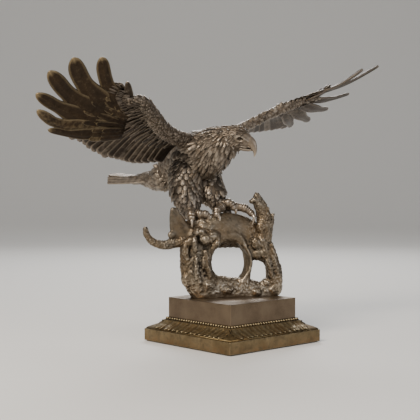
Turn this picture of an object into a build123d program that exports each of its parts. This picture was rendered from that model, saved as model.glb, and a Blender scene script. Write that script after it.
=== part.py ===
from build123d import *
import math
import os

# Bronze eagle statuette on a stepped square plinth, in millimetres.
#
# An eagle with raised wings grips the top of a gnarled, pierced root. The root stands on a square
# plinth made of a hollow slab, a leaf moulding, a bead moulding and a hollow block, all pulled
# together by two tie studs and a steel tie bar inside. Body, head, legs, feet, wings and tail are
# separate castings joined by tenons, studs, pins and grub screws.
#
# +Z is up, the eagle faces -Y, and the origin is the centre of the plinth's underside.

os.makedirs("parts", exist_ok=True)

# --- Plinth ---------------------------------------------------------------------------------
SLAB_SIDE = 140.0
SLAB_HEIGHT = 13.0
SLAB_WALL = 5.0
SLAB_WEB = 3.5
FELT_THICKNESS = 1.2
FELT_INSET = 2.0
LEAF_HEIGHT = 10.4
LEAF_SETBACK = 1.5
LEAF_WALL = 4.0
LEAF_LAND = 0.5
LEAF_FOOT_STEP = 1.2
LEAF_TOP_STEP = 1.6
LEAF_BELLY = 0.42
BLOCK_SIDE = 101.0
BLOCK_HEIGHT = 25.0
BLOCK_WALL = 4.5
BLOCK_TOP_WALL = 5.0
BEAD_RADIUS = 1.5
EDGE_ROUND = 0.6
SEAT_GAP = 0.05

# --- Ties and fasteners ---------------------------------------------------------------------
TIE_RADIUS = 2.5
TIE_EMBED = 11.0
TIE_SPREAD = 38.0
TIE_HOLE_GAP = 0.25
TIE_CHAMFER = 0.5
TIE_BAR_THICKNESS = 4.0
TIE_BAR_WIDTH = 14.0
TIE_BAR_OVERLAP = 12.0
WASHER_THICKNESS = 1.0
WASHER_RADIUS = 5.0
NUT_HEIGHT = 4.0
NUT_ACROSS_FLATS = 8.0
LEG_STUD_RADIUS = 2.0
HIP_PIN_RADIUS = 2.0
HIP_PIN_LENGTH = 16.0
HIP_PIN_START = 6.0
SCREW_RADIUS = 1.5
SCREW_LENGTH = 5.0
SCREW_KEY = 1.5
SCREW_KEY_DEPTH = 2.0
WING_SCREW_SETBACK = 2.5
AXIAL_SCREW_SETBACK = 4.0
PIN_RADIUS = 1.5
FIT_GAP = 0.05

# --- Root -----------------------------------------------------------------------------------
ROOT_HEIGHT = 88.0
ROOT_TURN = -27.0
ROOT_SETBACK = 8.0
COLUMN_RADIUS = 18.0
BRANCH_DEPTH = 20.0
BRANCH_THICKNESS = 28.0
ROOT_PIN_LENGTH = 16.0
ROOT_PIN_SHARE = 0.3

# --- Eagle ----------------------------------------------------------------------------------
PERCH_X = -6.0
PERCH_Y = 26.0
BODY_LENGTH = 100.0
BODY_HALF_WIDTH = 24.0
BODY_HALF_HEIGHT = 30.0
BODY_LIFT = 69.0
BODY_FRONT = -10.0
SHOULDER_WALL = 10.0
WING_SEAT_SHARE = 0.3
WING_SEAT_LIFT = 15.0
NECK_SEAT_LIFT = 11.0
TAIL_SEAT_DROP = 22.0
WING_TENON_REACH = 6.0
AXIAL_TENON_REACH = 10.0
WING_REACH = 225.0
WING_RISE = 97.0
WING_TENON_RADIUS = 4.5
WING_TENON_LENGTH = 13.0
FEATHER_WIDTH = 21.0
PRIMARIES = 6
COVERT_SHARE = 0.55
COVERT_RAISE = 0.8
BLADE_THICKNESS = 2.2
BLADE_TILT = 0.06
BLADE_WIDEST = 0.45
BLADE_ROOT_SHARE = 0.6
TAIL_LENGTH = 76.0
TAIL_FEATHERS = 7
TAIL_SPREAD = 17.0
TAIL_DROOP = 12.0
TAIL_BLADE_WIDTH = 13.0
TAIL_TENON_RADIUS = 4.0
TAIL_TENON_LENGTH = 12.0
NECK_TENON_RADIUS = 6.0
NECK_TENON_LENGTH = 10.0
TOE_RADIUS = 4.0
TALON_LENGTH = 13.0
LIMB_END_SHARE = 0.97

# --- Levels and frames worked out from the sizes above ----------------------------------------
SLAB_BOTTOM = FELT_THICKNESS
SLAB_TOP = SLAB_BOTTOM + SLAB_HEIGHT
LEAF_TOP = SLAB_TOP + LEAF_HEIGHT
BLOCK_TOP = LEAF_TOP + BLOCK_HEIGHT
OPENING_SIDE = BLOCK_SIDE - 2 * BLOCK_WALL
ROOT_PLANE = Plane.XY.rotated((0, 0, ROOT_TURN))
TIE_SPOTS = ((-TIE_SPREAD, ROOT_SETBACK), (TIE_SPREAD, ROOT_SETBACK))
PERCH = Vector(PERCH_X, PERCH_Y, BLOCK_TOP + ROOT_HEIGHT)
RIGHT_WING_NORMAL = Vector(0.137, 0.619, 0.773)
LEFT_WING_NORMAL = Vector(-0.335, 0.376, 0.864)


def root_point(across, deep, share):
    """A point of the root: mm along its face, mm behind its mid-plane, and a share of its height."""
    level = BLOCK_TOP + share * ROOT_HEIGHT
    return ROOT_PLANE.from_local_coords(Vector(across, ROOT_SETBACK + deep, level))


def body_point(x, y, z):
    """A point of the eagle, in mm from the perch between its feet."""
    return PERCH + Vector(x, y, z)


def wing_point(side, out, back, lift):
    """A point of a wing: side is -1 or 1, out and lift are shares of the reach and the rise."""
    return body_point(side * out * WING_REACH, back, BODY_LIFT + 17 + lift * WING_RISE)


def limb(stations, flatten=1.0, side=Vector(0, 0, 1)):
    """Adds a smooth limb through (point, radius) stations to the open part, with round ends."""
    points = [point for point, _ in stations]
    sections = []
    for index, (point, radius) in enumerate(stations):
        before = points[max(index - 1, 0)]
        after = points[min(index + 1, len(points) - 1)]
        heading = after - before
        with BuildSketch(Plane(origin=point, x_dir=side.cross(heading), z_dir=heading)) as section:
            Ellipse(radius, radius * flatten)
        sections.append(section.sketch)
    loft(sections)
    for point, radius in (stations[0], stations[-1]):
        with Locations(point):
            Sphere(radius * min(flatten, 1.0) * LIMB_END_SHARE)


def blade(base, tip, width, normal):
    """Adds one flat feather to the open part: narrow at its base and round at its tip."""
    along = tip - base
    across = normal.cross(along).normalized()
    facing = along.cross(across).normalized() + across * BLADE_TILT
    length = along.length
    half = width / 2
    with BuildSketch(Plane(origin=base, x_dir=along, z_dir=facing)) as outline:
        with BuildLine():
            Polyline(
                (length - half, half), (length * BLADE_WIDEST, half), (0, half * BLADE_ROOT_SHARE),
                (0, -half * BLADE_ROOT_SHARE), (length * BLADE_WIDEST, -half), (length - half, -half),
            )
            ThreePointArc((length - half, -half), (length, 0), (length - half, half))
        make_face()
    extrude(outline.sketch, amount=BLADE_THICKNESS / 2, both=True)


def rod(start, end, radius, mode=Mode.ADD):
    """Adds a plain round rod, or cuts its hole, between two points of the open part."""
    with BuildSketch(Plane(origin=start, z_dir=end - start)) as section:
        Circle(radius)
    extrude(section.sketch, amount=(end - start).length, mode=mode)


def drill(runs, radius):
    """Cuts holes for plain rods in the open part, with the fit's clearance all round."""
    for start, end in runs:
        heading = (end - start).normalized() * FIT_GAP
        rod(start - heading, end + heading, radius + FIT_GAP, Mode.SUBTRACT)


# --- felt_pad: glued under the slab -----------------------------------------------------------
with BuildPart() as felt_pad:
    with BuildSketch():
        RectangleRounded(SLAB_SIDE - 2 * FELT_INSET, SLAB_SIDE - 2 * FELT_INSET, FELT_INSET)
    extrude(amount=FELT_THICKNESS)
felt_pad.part.label = "felt_pad"

# --- plinth_slab: hollow square foot, open below, with a web that carries the moulding ---------
with BuildPart() as plinth_slab:
    with BuildSketch(Plane.XY.offset(SLAB_BOTTOM)):
        Rectangle(SLAB_SIDE, SLAB_SIDE)
    extrude(amount=SLAB_HEIGHT)
    with BuildSketch(Plane.XY.offset(SLAB_BOTTOM)):
        Rectangle(SLAB_SIDE - 2 * SLAB_WALL, SLAB_SIDE - 2 * SLAB_WALL)
    extrude(amount=SLAB_HEIGHT - SLAB_WEB, mode=Mode.SUBTRACT)
    with BuildSketch(Plane.XY.offset(SLAB_BOTTOM)):
        Rectangle(OPENING_SIDE, OPENING_SIDE)
    extrude(amount=SLAB_HEIGHT, mode=Mode.SUBTRACT)
    outer_corners = plinth_slab.edges().filter_by(Axis.Z).group_by(
        lambda edge: round((edge @ 0.5).X ** 2 + (edge @ 0.5).Y ** 2, 1))[-1]
    fillet(outer_corners, radius=EDGE_ROUND)
    fillet(plinth_slab.faces().sort_by(Axis.Z)[-1].outer_wire().edges(), radius=EDGE_ROUND)
plinth_slab.part.label = "plinth_slab"

# --- leaf_moulding: four mitred lengths of an S-shaped section, hollow underneath ---------------
leaf_foot = SLAB_SIDE / 2 - LEAF_SETBACK
leaf_land = BLOCK_SIDE / 2 + 2 * BEAD_RADIUS + LEAF_LAND
leaf_inner = OPENING_SIDE / 2
leaf_middle = (leaf_foot + leaf_land) / 2
with BuildPart() as leaf_length:
    with BuildSketch(Plane.YZ):
        with BuildLine():
            l1 = Line((leaf_foot, SLAB_TOP), (leaf_foot, SLAB_TOP + LEAF_FOOT_STEP))
            l2 = Spline(
                l1 @ 1, (leaf_middle, SLAB_TOP + LEAF_HEIGHT * LEAF_BELLY),
                (leaf_land, LEAF_TOP - LEAF_TOP_STEP), tangents=[(-1, 0.15), (-0.2, 1)],
            )
            Polyline(
                l2 @ 1, (leaf_land, LEAF_TOP), (leaf_inner, LEAF_TOP),
                (leaf_inner, LEAF_TOP - LEAF_WALL), (leaf_land - LEAF_WALL, LEAF_TOP - LEAF_WALL),
                (leaf_foot - 2 * LEAF_WALL, SLAB_TOP), l1 @ 0,
            )
        make_face()
    extrude(amount=leaf_foot, both=True)
    with BuildSketch():
        Polygon((0, 0), (leaf_foot, leaf_foot), (-leaf_foot, leaf_foot), align=None)
    extrude(amount=LEAF_TOP, mode=Mode.INTERSECT)
with BuildPart() as leaf_moulding:
    with PolarLocations(0, 4):
        add(leaf_length.part)
leaf_moulding.part.label = "leaf_moulding"

# --- plinth_block: hollow block, open below, bored for the tie studs ----------------------------
with BuildPart() as plinth_block:
    with BuildSketch(Plane.XY.offset(LEAF_TOP)):
        Rectangle(BLOCK_SIDE, BLOCK_SIDE)
    extrude(amount=BLOCK_HEIGHT)
    with BuildSketch(Plane.XY.offset(LEAF_TOP)):
        Rectangle(OPENING_SIDE, OPENING_SIDE)
    extrude(amount=BLOCK_HEIGHT - BLOCK_TOP_WALL, mode=Mode.SUBTRACT)
    upright = plinth_block.edges().filter_by(Axis.Z).group_by(
        lambda edge: round((edge @ 0.5).X ** 2 + (edge @ 0.5).Y ** 2, 1))[-1]
    fillet(upright, radius=EDGE_ROUND)
    fillet(plinth_block.faces().sort_by(Axis.Z)[-1].edges(), radius=EDGE_ROUND)
    with BuildSketch(ROOT_PLANE.offset(BLOCK_TOP)):
        with Locations(*TIE_SPOTS):
            Circle(TIE_RADIUS + TIE_HOLE_GAP)
    extrude(amount=-BLOCK_TOP_WALL, mode=Mode.SUBTRACT)
plinth_block.part.label = "plinth_block"

# --- bead_moulding: round bead frame that lies round the foot of the block ----------------------
bead_line = BLOCK_SIDE / 2 + BEAD_RADIUS + SEAT_GAP
with BuildPart() as bead_length:
    with BuildSketch(Plane.YZ):
        with Locations((bead_line, LEAF_TOP + BEAD_RADIUS)):
            Circle(BEAD_RADIUS)
        with Locations((bead_line, LEAF_TOP + BEAD_RADIUS / 2)):
            Rectangle(2 * BEAD_RADIUS, BEAD_RADIUS)
    extrude(amount=bead_line + BEAD_RADIUS, both=True)
    with BuildSketch(Plane.XY.offset(LEAF_TOP)):
        reach = bead_line + BEAD_RADIUS
        Polygon((0, 0), (reach, reach), (-reach, reach), align=None)
    extrude(amount=2 * BEAD_RADIUS, mode=Mode.INTERSECT)
with BuildPart() as bead_moulding:
    with PolarLocations(0, 4):
        add(bead_length.part)
bead_moulding.part.label = "bead_moulding"

# --- tie_bar: flat steel bar that bears up against the slab's web --------------------------------
bar_top = SLAB_TOP - SLAB_WEB - SEAT_GAP
bar_length = OPENING_SIDE / math.cos(math.radians(ROOT_TURN)) + 2 * TIE_BAR_OVERLAP
with BuildPart() as tie_bar:
    with BuildSketch(ROOT_PLANE.offset(bar_top)):
        with Locations((0, ROOT_SETBACK)):
            SlotOverall(bar_length, TIE_BAR_WIDTH)
        with Locations(*TIE_SPOTS):
            Circle(TIE_RADIUS + TIE_HOLE_GAP, mode=Mode.SUBTRACT)
    extrude(amount=-TIE_BAR_THICKNESS)
tie_bar.part.label = "tie_bar"

# --- tie_washers, tie_nuts and tie_studs, one of each at both ends of the bar --------------------
washer_top = bar_top - TIE_BAR_THICKNESS
nut_top = washer_top - WASHER_THICKNESS
with BuildPart() as tie_washers:
    with BuildSketch(ROOT_PLANE.offset(washer_top)):
        with Locations(*TIE_SPOTS):
            Circle(WASHER_RADIUS)
            Circle(TIE_RADIUS + TIE_HOLE_GAP, mode=Mode.SUBTRACT)
    extrude(amount=-WASHER_THICKNESS)
tie_washers.part.label = "tie_washers"

with BuildPart() as tie_nuts:
    with BuildSketch(ROOT_PLANE.offset(nut_top)):
        with Locations(*TIE_SPOTS):
            RegularPolygon(NUT_ACROSS_FLATS / 2, 6, major_radius=False)
            Circle(TIE_RADIUS + FIT_GAP, mode=Mode.SUBTRACT)
    extrude(amount=-NUT_HEIGHT)
tie_nuts.part.label = "tie_nuts"

stud_bottom = nut_top - NUT_HEIGHT
with BuildPart() as tie_studs:
    with BuildSketch(ROOT_PLANE.offset(stud_bottom)):
        with Locations(*TIE_SPOTS):
            Circle(TIE_RADIUS)
    extrude(amount=BLOCK_TOP + TIE_EMBED - stud_bottom)
    chamfer(tie_studs.edges().filter_by(GeomType.CIRCLE), length=TIE_CHAMFER)
tie_studs.part.label = "tie_studs"

# --- root_trunk: gnarled root with two openings, a broad branch on top and an upright fin ---------
branch_half = BRANCH_THICKNESS / 2
branch_top = 1 - branch_half / ROOT_HEIGHT
column = COLUMN_RADIUS
face_side = ROOT_PLANE.y_dir
with BuildPart() as root_trunk:
    limb([
        (root_point(-35, 2, 0.1), column + 2), (root_point(-40, 2, 0.4), column),
        (root_point(-41, 3, 0.66), column), (root_point(-40, 5, 0.8), column - 3),
    ], flatten=0.85, side=face_side)
    limb([
        (root_point(-46, 6, branch_top), BRANCH_DEPTH * 0.7),
        (root_point(-22, 7, branch_top), BRANCH_DEPTH), (root_point(2, 8, branch_top), BRANCH_DEPTH),
        (root_point(22, 7, branch_top - 0.05), BRANCH_DEPTH * 0.9),
        (root_point(36, 3, branch_top - 0.2), BRANCH_DEPTH * 0.75),
    ], flatten=branch_half / BRANCH_DEPTH)
    limb([
        (root_point(37, 2, branch_top - 0.2), 15), (root_point(47, 1, 0.4), 9),
        (root_point(50, 0, 0.18), 8.5), (root_point(45, 0, 0.06), 10),
    ], side=face_side)
    limb([
        (root_point(26, 3, branch_top - 0.2), 11), (root_point(20.5, 1, 0.36), 4.5),
        (root_point(19, 0, 0.12), 7),
    ], side=face_side)
    limb([
        (root_point(-40, 0, 0.08), 20), (root_point(-14, 0, 0.08), 16),
        (root_point(12, 0, 0.07), 16), (root_point(34, 0, 0.03), 14), (root_point(46, 0, 0.05), 14),
    ], flatten=0.75)
    limb([
        (root_point(-44, 0, 0.78), 9), (root_point(-58, 0, 0.92), 7),
        (root_point(-65, 0, 1.1), 3.2),
    ], flatten=0.75, side=face_side)
    limb([
        (root_point(-42, 0, 0.74), 9), (root_point(-65, 0, 0.76), 7), (root_point(-66, 0, 0.92), 4),
    ], side=face_side)
    with Locations(root_point(-31, -4, 0.74)):
        Sphere(9)
    below = Plane.XY.offset(BLOCK_TOP)
    split(bisect_by=below, keep=Keep.TOP)
    for spot in TIE_SPOTS:
        foot = ROOT_PLANE.from_local_coords(Vector(*spot, BLOCK_TOP))
        rod(foot, foot + Vector(0, 0, TIE_EMBED + FIT_GAP), TIE_RADIUS + FIT_GAP, Mode.SUBTRACT)
root_trunk.part.label = "root_trunk"

# --- root_curl and root_snag: thin branches cast on their own and pinned to the trunk -------------
curl_start = root_point(-64, 0, 0.68)
curl_next = root_point(-81, 0, 0.69)
curl_heading = (curl_next - curl_start).normalized()
snag_start = root_point(39, 1, branch_top - 0.14)
snag_next = root_point(40, 0, 0.98)
snag_heading = (snag_next - snag_start).normalized()
pin_in = ROOT_PIN_LENGTH * ROOT_PIN_SHARE
pin_out = ROOT_PIN_LENGTH - pin_in
pin_runs = [
    (curl_start - curl_heading * pin_in, curl_start + curl_heading * pin_out),
    (snag_start - snag_heading * pin_in, snag_start + snag_heading * pin_out),
]
with BuildPart() as root_pins:
    for start, end in pin_runs:
        rod(start, end, PIN_RADIUS)
root_pins.part.label = "root_pins"

with BuildPart() as root_curl:
    limb([
        (curl_start, 6), (curl_next, 5), (root_point(-92, 0, 0.755), 4), (root_point(-98, 0, 0.86), 2.5),
    ])
    add(root_trunk.part, mode=Mode.SUBTRACT)
    drill(pin_runs, PIN_RADIUS)
root_curl.part.label = "root_curl"

with BuildPart() as root_snag:
    limb([
        (snag_start, 9), (snag_next, 8), (root_point(35, 0, 1.18), 6), (root_point(30, 0, 1.29), 3),
    ], side=face_side)
    limb([
        (root_point(36, 0, 1.12), 5), (root_point(26, -3, 1.16), 4), (root_point(19, -5, 1.13), 2.5),
    ])
    add(root_trunk.part, mode=Mode.SUBTRACT)
    drill(pin_runs, PIN_RADIUS)
root_snag.part.label = "root_snag"

# --- leg_studs and hip_pins: steel through the feet and across the hips ----------------------------
stud_runs = [
    (body_point(-20, 5, -13), body_point(-20, 15, 24)),
    (body_point(20, -6, -12), body_point(18.5, 1, 27)),
]
with BuildPart() as leg_studs:
    for start, end in stud_runs:
        rod(start, end, LEG_STUD_RADIUS)
leg_studs.part.label = "leg_studs"

hip_runs = [
    (body_point(side * HIP_PIN_START, hip_y, hip_z),
     body_point(side * (HIP_PIN_START + HIP_PIN_LENGTH), hip_y, hip_z))
    for side, hip_y, hip_z in ((-1, 24, 46), (1, 18, 46))
]
with BuildPart() as hip_pins:
    for start, end in hip_runs:
        rod(start, end, HIP_PIN_RADIUS)
hip_pins.part.label = "hip_pins"

# --- torso: cast body with thick shoulders round an egg-shaped cavity ------------------------------
def body_section(share, lift, half_width, half_height):
    """One upright oval section of the body, at a share of its length from the breast."""
    centre = body_point(0, BODY_FRONT + share * BODY_LENGTH, BODY_LIFT + lift)
    with BuildSketch(Plane(origin=centre, x_dir=(1, 0, 0), z_dir=(0, -1, 0))) as section:
        Ellipse(half_width, half_height)
    return section.sketch


width = BODY_HALF_WIDTH
height = BODY_HALF_HEIGHT
breast = body_section(0, 12, width * 0.75, height * 0.87)
with BuildPart() as torso_skin:
    loft([
        breast, body_section(0.2, 5, width * 0.96, height * 1.02), body_section(0.42, 0, width, height),
        body_section(0.64, -5, width * 0.86, height * 0.78),
        body_section(0.84, -15, width * 0.66, height * 0.52),
        body_section(1, -22, width * 0.52, height * 0.34),
    ])

wing_seat_y = BODY_FRONT + WING_SEAT_SHARE * BODY_LENGTH
wing_seat_z = BODY_LIFT + WING_SEAT_LIFT
neck_seat_z = BODY_LIFT + NECK_SEAT_LIFT
tail_seat_y = BODY_FRONT + BODY_LENGTH
tail_seat_z = BODY_LIFT - TAIL_SEAT_DROP
tenons = {
    "right_wing": (body_point(-width - WING_TENON_REACH, wing_seat_y, wing_seat_z),
                   body_point(WING_TENON_LENGTH - width, wing_seat_y, wing_seat_z), WING_TENON_RADIUS),
    "left_wing": (body_point(width + WING_TENON_REACH, wing_seat_y, wing_seat_z),
                  body_point(width - WING_TENON_LENGTH, wing_seat_y, wing_seat_z), WING_TENON_RADIUS),
    "head": (body_point(0, BODY_FRONT - AXIAL_TENON_REACH, neck_seat_z),
             body_point(0, BODY_FRONT + NECK_TENON_LENGTH, neck_seat_z), NECK_TENON_RADIUS),
    "tail": (body_point(0, tail_seat_y + AXIAL_TENON_REACH, tail_seat_z),
             body_point(0, tail_seat_y - TAIL_TENON_LENGTH, tail_seat_z), TAIL_TENON_RADIUS),
}
wing_screw_x = width - WING_TENON_LENGTH + WING_SCREW_SETBACK
neck_screw_y = BODY_FRONT + NECK_TENON_LENGTH - AXIAL_SCREW_SETBACK
tail_screw_y = tail_seat_y - TAIL_TENON_LENGTH + AXIAL_SCREW_SETBACK
screw_seats = [
    (body_point(-wing_screw_x, wing_seat_y, wing_seat_z + WING_TENON_RADIUS), 1),
    (body_point(wing_screw_x, wing_seat_y, wing_seat_z + WING_TENON_RADIUS), 1),
    (body_point(0, neck_screw_y, neck_seat_z - NECK_TENON_RADIUS), -1),
    (body_point(0, tail_screw_y, tail_seat_z - TAIL_TENON_RADIUS), -1),
]
with BuildPart() as torso:
    add(torso_skin.part)
    loft([
        body_section(0.18, -2, (width - SHOULDER_WALL) * 0.4, (height - SHOULDER_WALL) * 0.4),
        body_section(0.42, -5, width - SHOULDER_WALL, height - SHOULDER_WALL),
        body_section(0.7, -9, (width - SHOULDER_WALL) * 0.5, (height - SHOULDER_WALL) * 0.4),
    ], mode=Mode.SUBTRACT)
    for start, end, radius in tenons.values():
        beyond = (end - start).normalized() * FIT_GAP
        rod(start, end + beyond, radius + FIT_GAP, Mode.SUBTRACT)
    for seat, way in screw_seats:
        outside = seat + Vector(0, 0, way * 2 * height)
        rod(seat, outside, SCREW_RADIUS + FIT_GAP, Mode.SUBTRACT)
    drill(hip_runs, HIP_PIN_RADIUS)
torso.part.label = "torso"

# --- grub_screws: hexagon-socket screws that lock the four tenons ----------------------------------
with BuildPart() as grub_screws:
    for seat, way in screw_seats:
        top = seat + Vector(0, 0, way * SCREW_LENGTH)
        rod(seat, top, SCREW_RADIUS)
        with BuildSketch(Plane(origin=top, z_dir=(0, 0, -way))) as key:
            RegularPolygon(SCREW_KEY / 2, 6, major_radius=False)
        extrude(key.sketch, amount=SCREW_KEY_DEPTH, mode=Mode.SUBTRACT)
grub_screws.part.label = "grub_screws"

# --- head: neck, head and hooked beak in one casting, turned a little to the left -------------------
def neck_section(x, y, lift, half_width, half_height):
    """One upright oval section of the neck or head, placed from the breast joint."""
    centre = body_point(x, BODY_FRONT + y, BODY_LIFT + lift)
    with BuildSketch(Plane(origin=centre, x_dir=(1, 0, 0), z_dir=(0, -1, 0))) as section:
        Ellipse(half_width, half_height)
    return section.sketch


with BuildPart() as head:
    loft([
        breast, neck_section(0.5, -9, 16, 15, 22.5), neck_section(1.5, -18, 19.5, 12.5, 18.5),
        neck_section(3.5, -27, 22.5, 12, 14.5), neck_section(6.5, -34, 22.5, 9.5, 11),
        neck_section(8.5, -38, 20, 5, 7),
    ])
    limb([
        (body_point(7, BODY_FRONT - 36, BODY_LIFT + 20), 6.5),
        (body_point(11, BODY_FRONT - 42, BODY_LIFT + 18), 5),
        (body_point(13, BODY_FRONT - 46, BODY_LIFT + 12), 3),
        (body_point(13, BODY_FRONT - 46, BODY_LIFT + 4), 1.2),
    ], side=Vector(1, 0, 0))
    rod(*tenons["head"])
head.part.label = "head"

# --- right_foot, left_foot, right_leg and left_leg ---------------------------------------------------
def toe(centre, knuckle, end):
    """Adds one toe with its curved talon to the open part."""
    limb([(centre, TOE_RADIUS * 1.15), (knuckle, TOE_RADIUS), (end, TOE_RADIUS * 0.85)])
    ahead = Vector(end.X - knuckle.X, end.Y - knuckle.Y, 0).normalized() * TALON_LENGTH
    down = Vector(0, 0, -TALON_LENGTH)
    limb([
        (end, TOE_RADIUS * 0.65), (end + ahead * 0.4 + down * 0.05, TOE_RADIUS * 0.55),
        (end + ahead * 0.65 + down * 0.4, TOE_RADIUS * 0.36), (end + ahead * 0.6 + down * 0.8, 0.7),
    ])


def make_foot(name, ankle, centre, ends):
    """A foot: its ankle, and toes that end at the given points, seated on the root."""
    with BuildPart() as foot:
        limb([(centre, TOE_RADIUS * 1.5), (ankle, TOE_RADIUS * 1.4)], side=Vector(0, 1, 0))
        for end in ends:
            knuckle = (centre + end) * 0.5 + Vector(0, 0, TOE_RADIUS * 0.5)
            toe(centre, knuckle, end)
        add(root_trunk.part, mode=Mode.SUBTRACT)
        drill(stud_runs, LEG_STUD_RADIUS)
    foot.part.label = name
    return foot


def make_leg(name, stations, foot):
    """A feathered thigh that seats on the torso above and on the foot below."""
    with BuildPart() as leg:
        limb(stations, side=Vector(0, 1, 0))
        add(torso_skin.part, mode=Mode.SUBTRACT)
        add(foot.part, mode=Mode.SUBTRACT)
        drill(stud_runs, LEG_STUD_RADIUS)
        drill(hip_runs, HIP_PIN_RADIUS)
    leg.part.label = name
    return leg


right_foot = make_foot("right_foot", body_point(-20, 8, 10), body_point(-20, 6, 4), [
    body_point(-6, -9, 4), body_point(-15, -13, 3), body_point(-29, -8, 3), body_point(-21, 19, 3),
])
left_foot = make_foot("left_foot", body_point(19.5, -3, 12), body_point(20, -4, 4), [
    body_point(31, -19, 3), body_point(21, -21, 2), body_point(8, -14, 4), body_point(19, 8, 2),
])
right_leg = make_leg("right_leg", [
    (body_point(-16, 26, 46), 18), (body_point(-20, 25, 32), 17), (body_point(-21, 18, 18), 13),
    (body_point(-20, 10, 10), 9),
], right_foot)
left_leg = make_leg("left_leg", [
    (body_point(15, 18, 47), 16), (body_point(18, 10, 37), 13), (body_point(19, 2, 25), 9),
    (body_point(19.5, -3, 15), 6.5),
], left_foot)

# --- right_wing and left_wing: arm, flight feathers and a row of shorter coverts ----------------------
RIGHT_TIPS = [
    (0.78, -28, 0.81), (0.91, -21, 0.79), (0.99, -8, 0.655), (1.0, 9, 0.44), (0.975, 20, 0.285),
    (0.89, 31, 0.095), (0.75, 39, 0.02), (0.625, 47, -0.07), (0.505, 55, -0.175), (0.385, 58, -0.215),
    (0.275, 58, -0.25), (0.17, 52, -0.23),
]
LEFT_TIPS = [
    (0.845, -60, 0.92), (1.0, -60, 1.0), (0.985, -30, 0.73), (0.925, 0, 0.53), (0.855, 25, 0.34),
    (0.765, 38, 0.27), (0.667, 45, 0.225), (0.555, 52, 0.19), (0.445, 58, 0.16), (0.355, 60, 0.12),
    (0.267, 59, 0.06), (0.18, 53, -0.02),
]
RIGHT_ARM = [(0.265, 12, 0.12), (0.47, -7, 0.39), (0.57, -9, 0.43)]
LEFT_ARM = [(0.265, 14, 0.2), (0.48, -6, 0.445), (0.66, -27, 0.595)]


def make_wing(name, side, arm, tips, normal):
    """One wing: a limb for the arm and hand, with overlapping flat feathers behind it."""
    shoulder = body_point(side * 16, wing_seat_y, wing_seat_z + 2)
    elbow, wrist, hand = [wing_point(side, *place) for place in arm]
    with BuildPart() as wing:
        limb([(shoulder, 13), (elbow, 10), (wrist, 8), (hand, 4)], flatten=0.62)
        for index, place in enumerate(tips):
            tip = wing_point(side, *place)
            if index < PRIMARIES:
                base = wrist + (hand - wrist) * (1 - index / PRIMARIES)
            else:
                along_arm = (index - PRIMARIES + 0.5) / (len(tips) - PRIMARIES)
                base = wrist + (elbow - wrist) * min(along_arm * 2, 1)
                base += (shoulder - elbow) * max(along_arm * 2 - 1, 0)
            blade(base, tip, FEATHER_WIDTH, normal)
            raised = base + normal * BLADE_THICKNESS * COVERT_RAISE
            blade(raised, raised + (tip - base) * COVERT_SHARE, FEATHER_WIDTH, normal)
        add(torso_skin.part, mode=Mode.SUBTRACT)
        rod(*tenons[name])
    wing.part.label = name
    return wing


right_wing = make_wing("right_wing", -1, RIGHT_ARM, RIGHT_TIPS, RIGHT_WING_NORMAL)
left_wing = make_wing("left_wing", 1, LEFT_ARM, LEFT_TIPS, LEFT_WING_NORMAL)

# --- tail: feathered root and a narrow fan of long feathers, lower towards its edges ------------------
with BuildPart() as tail:
    limb([
        (body_point(0, tail_seat_y - 6, tail_seat_z - 1), width * 0.54),
        (body_point(0, tail_seat_y + 12, tail_seat_z - 3), width * 0.56),
        (body_point(0, tail_seat_y + 38, tail_seat_z - 4), width * 0.5),
    ], flatten=0.75)
    for index in range(TAIL_FEATHERS):
        place = 2 * index / (TAIL_FEATHERS - 1) - 1
        droop = TAIL_DROOP * place ** 2
        base = body_point(place * 5, tail_seat_y + 8, tail_seat_z - 2 - droop * 0.3)
        tip_y = tail_seat_y + TAIL_LENGTH * (1 - 0.07 * place ** 2)
        tip = body_point(place * TAIL_SPREAD, tip_y, tail_seat_z + 1 - droop)
        blade(base, tip, TAIL_BLADE_WIDTH, Vector(place * 0.5, 0, 1))
    add(torso_skin.part, mode=Mode.SUBTRACT)
    rod(*tenons["tail"])
tail.part.label = "tail"

# --- Root's own holes for the pins and the leg studs, cut after its neighbours were seated -------------
with BuildPart() as root_bored:
    add(root_trunk.part)
    drill(pin_runs, PIN_RADIUS)
    drill(stud_runs, LEG_STUD_RADIUS)
root_bored.part.label = "root_trunk"

pieces = [
    felt_pad, plinth_slab, leaf_moulding, bead_moulding, plinth_block, tie_bar, tie_washers, tie_nuts,
    tie_studs, root_bored, root_curl, root_snag, root_pins, right_foot, left_foot, leg_studs, right_leg,
    left_leg, hip_pins, torso, grub_screws, head, right_wing, left_wing, tail,
]
for piece in pieces:
    export_step(piece.part, f"parts/{piece.part.label}.step")
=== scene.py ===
"""Bronze eagle statuette: the visible castings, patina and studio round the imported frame.

Metres, +Z up, the eagle faces -Y. Places are worked out from the frame's boxes.
"""

import math

import bmesh
import bpy
import numpy as np
from mathutils import Matrix, Vector, noise


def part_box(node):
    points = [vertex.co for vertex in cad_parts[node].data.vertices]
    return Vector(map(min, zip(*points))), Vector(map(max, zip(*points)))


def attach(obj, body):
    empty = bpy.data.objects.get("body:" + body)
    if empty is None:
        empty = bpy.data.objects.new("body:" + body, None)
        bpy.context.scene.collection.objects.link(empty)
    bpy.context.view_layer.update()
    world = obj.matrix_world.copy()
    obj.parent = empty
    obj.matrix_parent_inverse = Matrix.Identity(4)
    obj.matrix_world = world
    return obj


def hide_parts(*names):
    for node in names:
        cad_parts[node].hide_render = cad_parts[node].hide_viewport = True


bl_info = {
    "name": "Bronze Eagle Statuette",
    "version": (1, 0, 0),
    "blender": (4, 5, 0),
    "location": "View3D > Sidebar > Statuette",
    "description": "Builds the chased castings, patina and studio of a bronze eagle on a plinth",
    "category": "Object",
}

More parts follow.
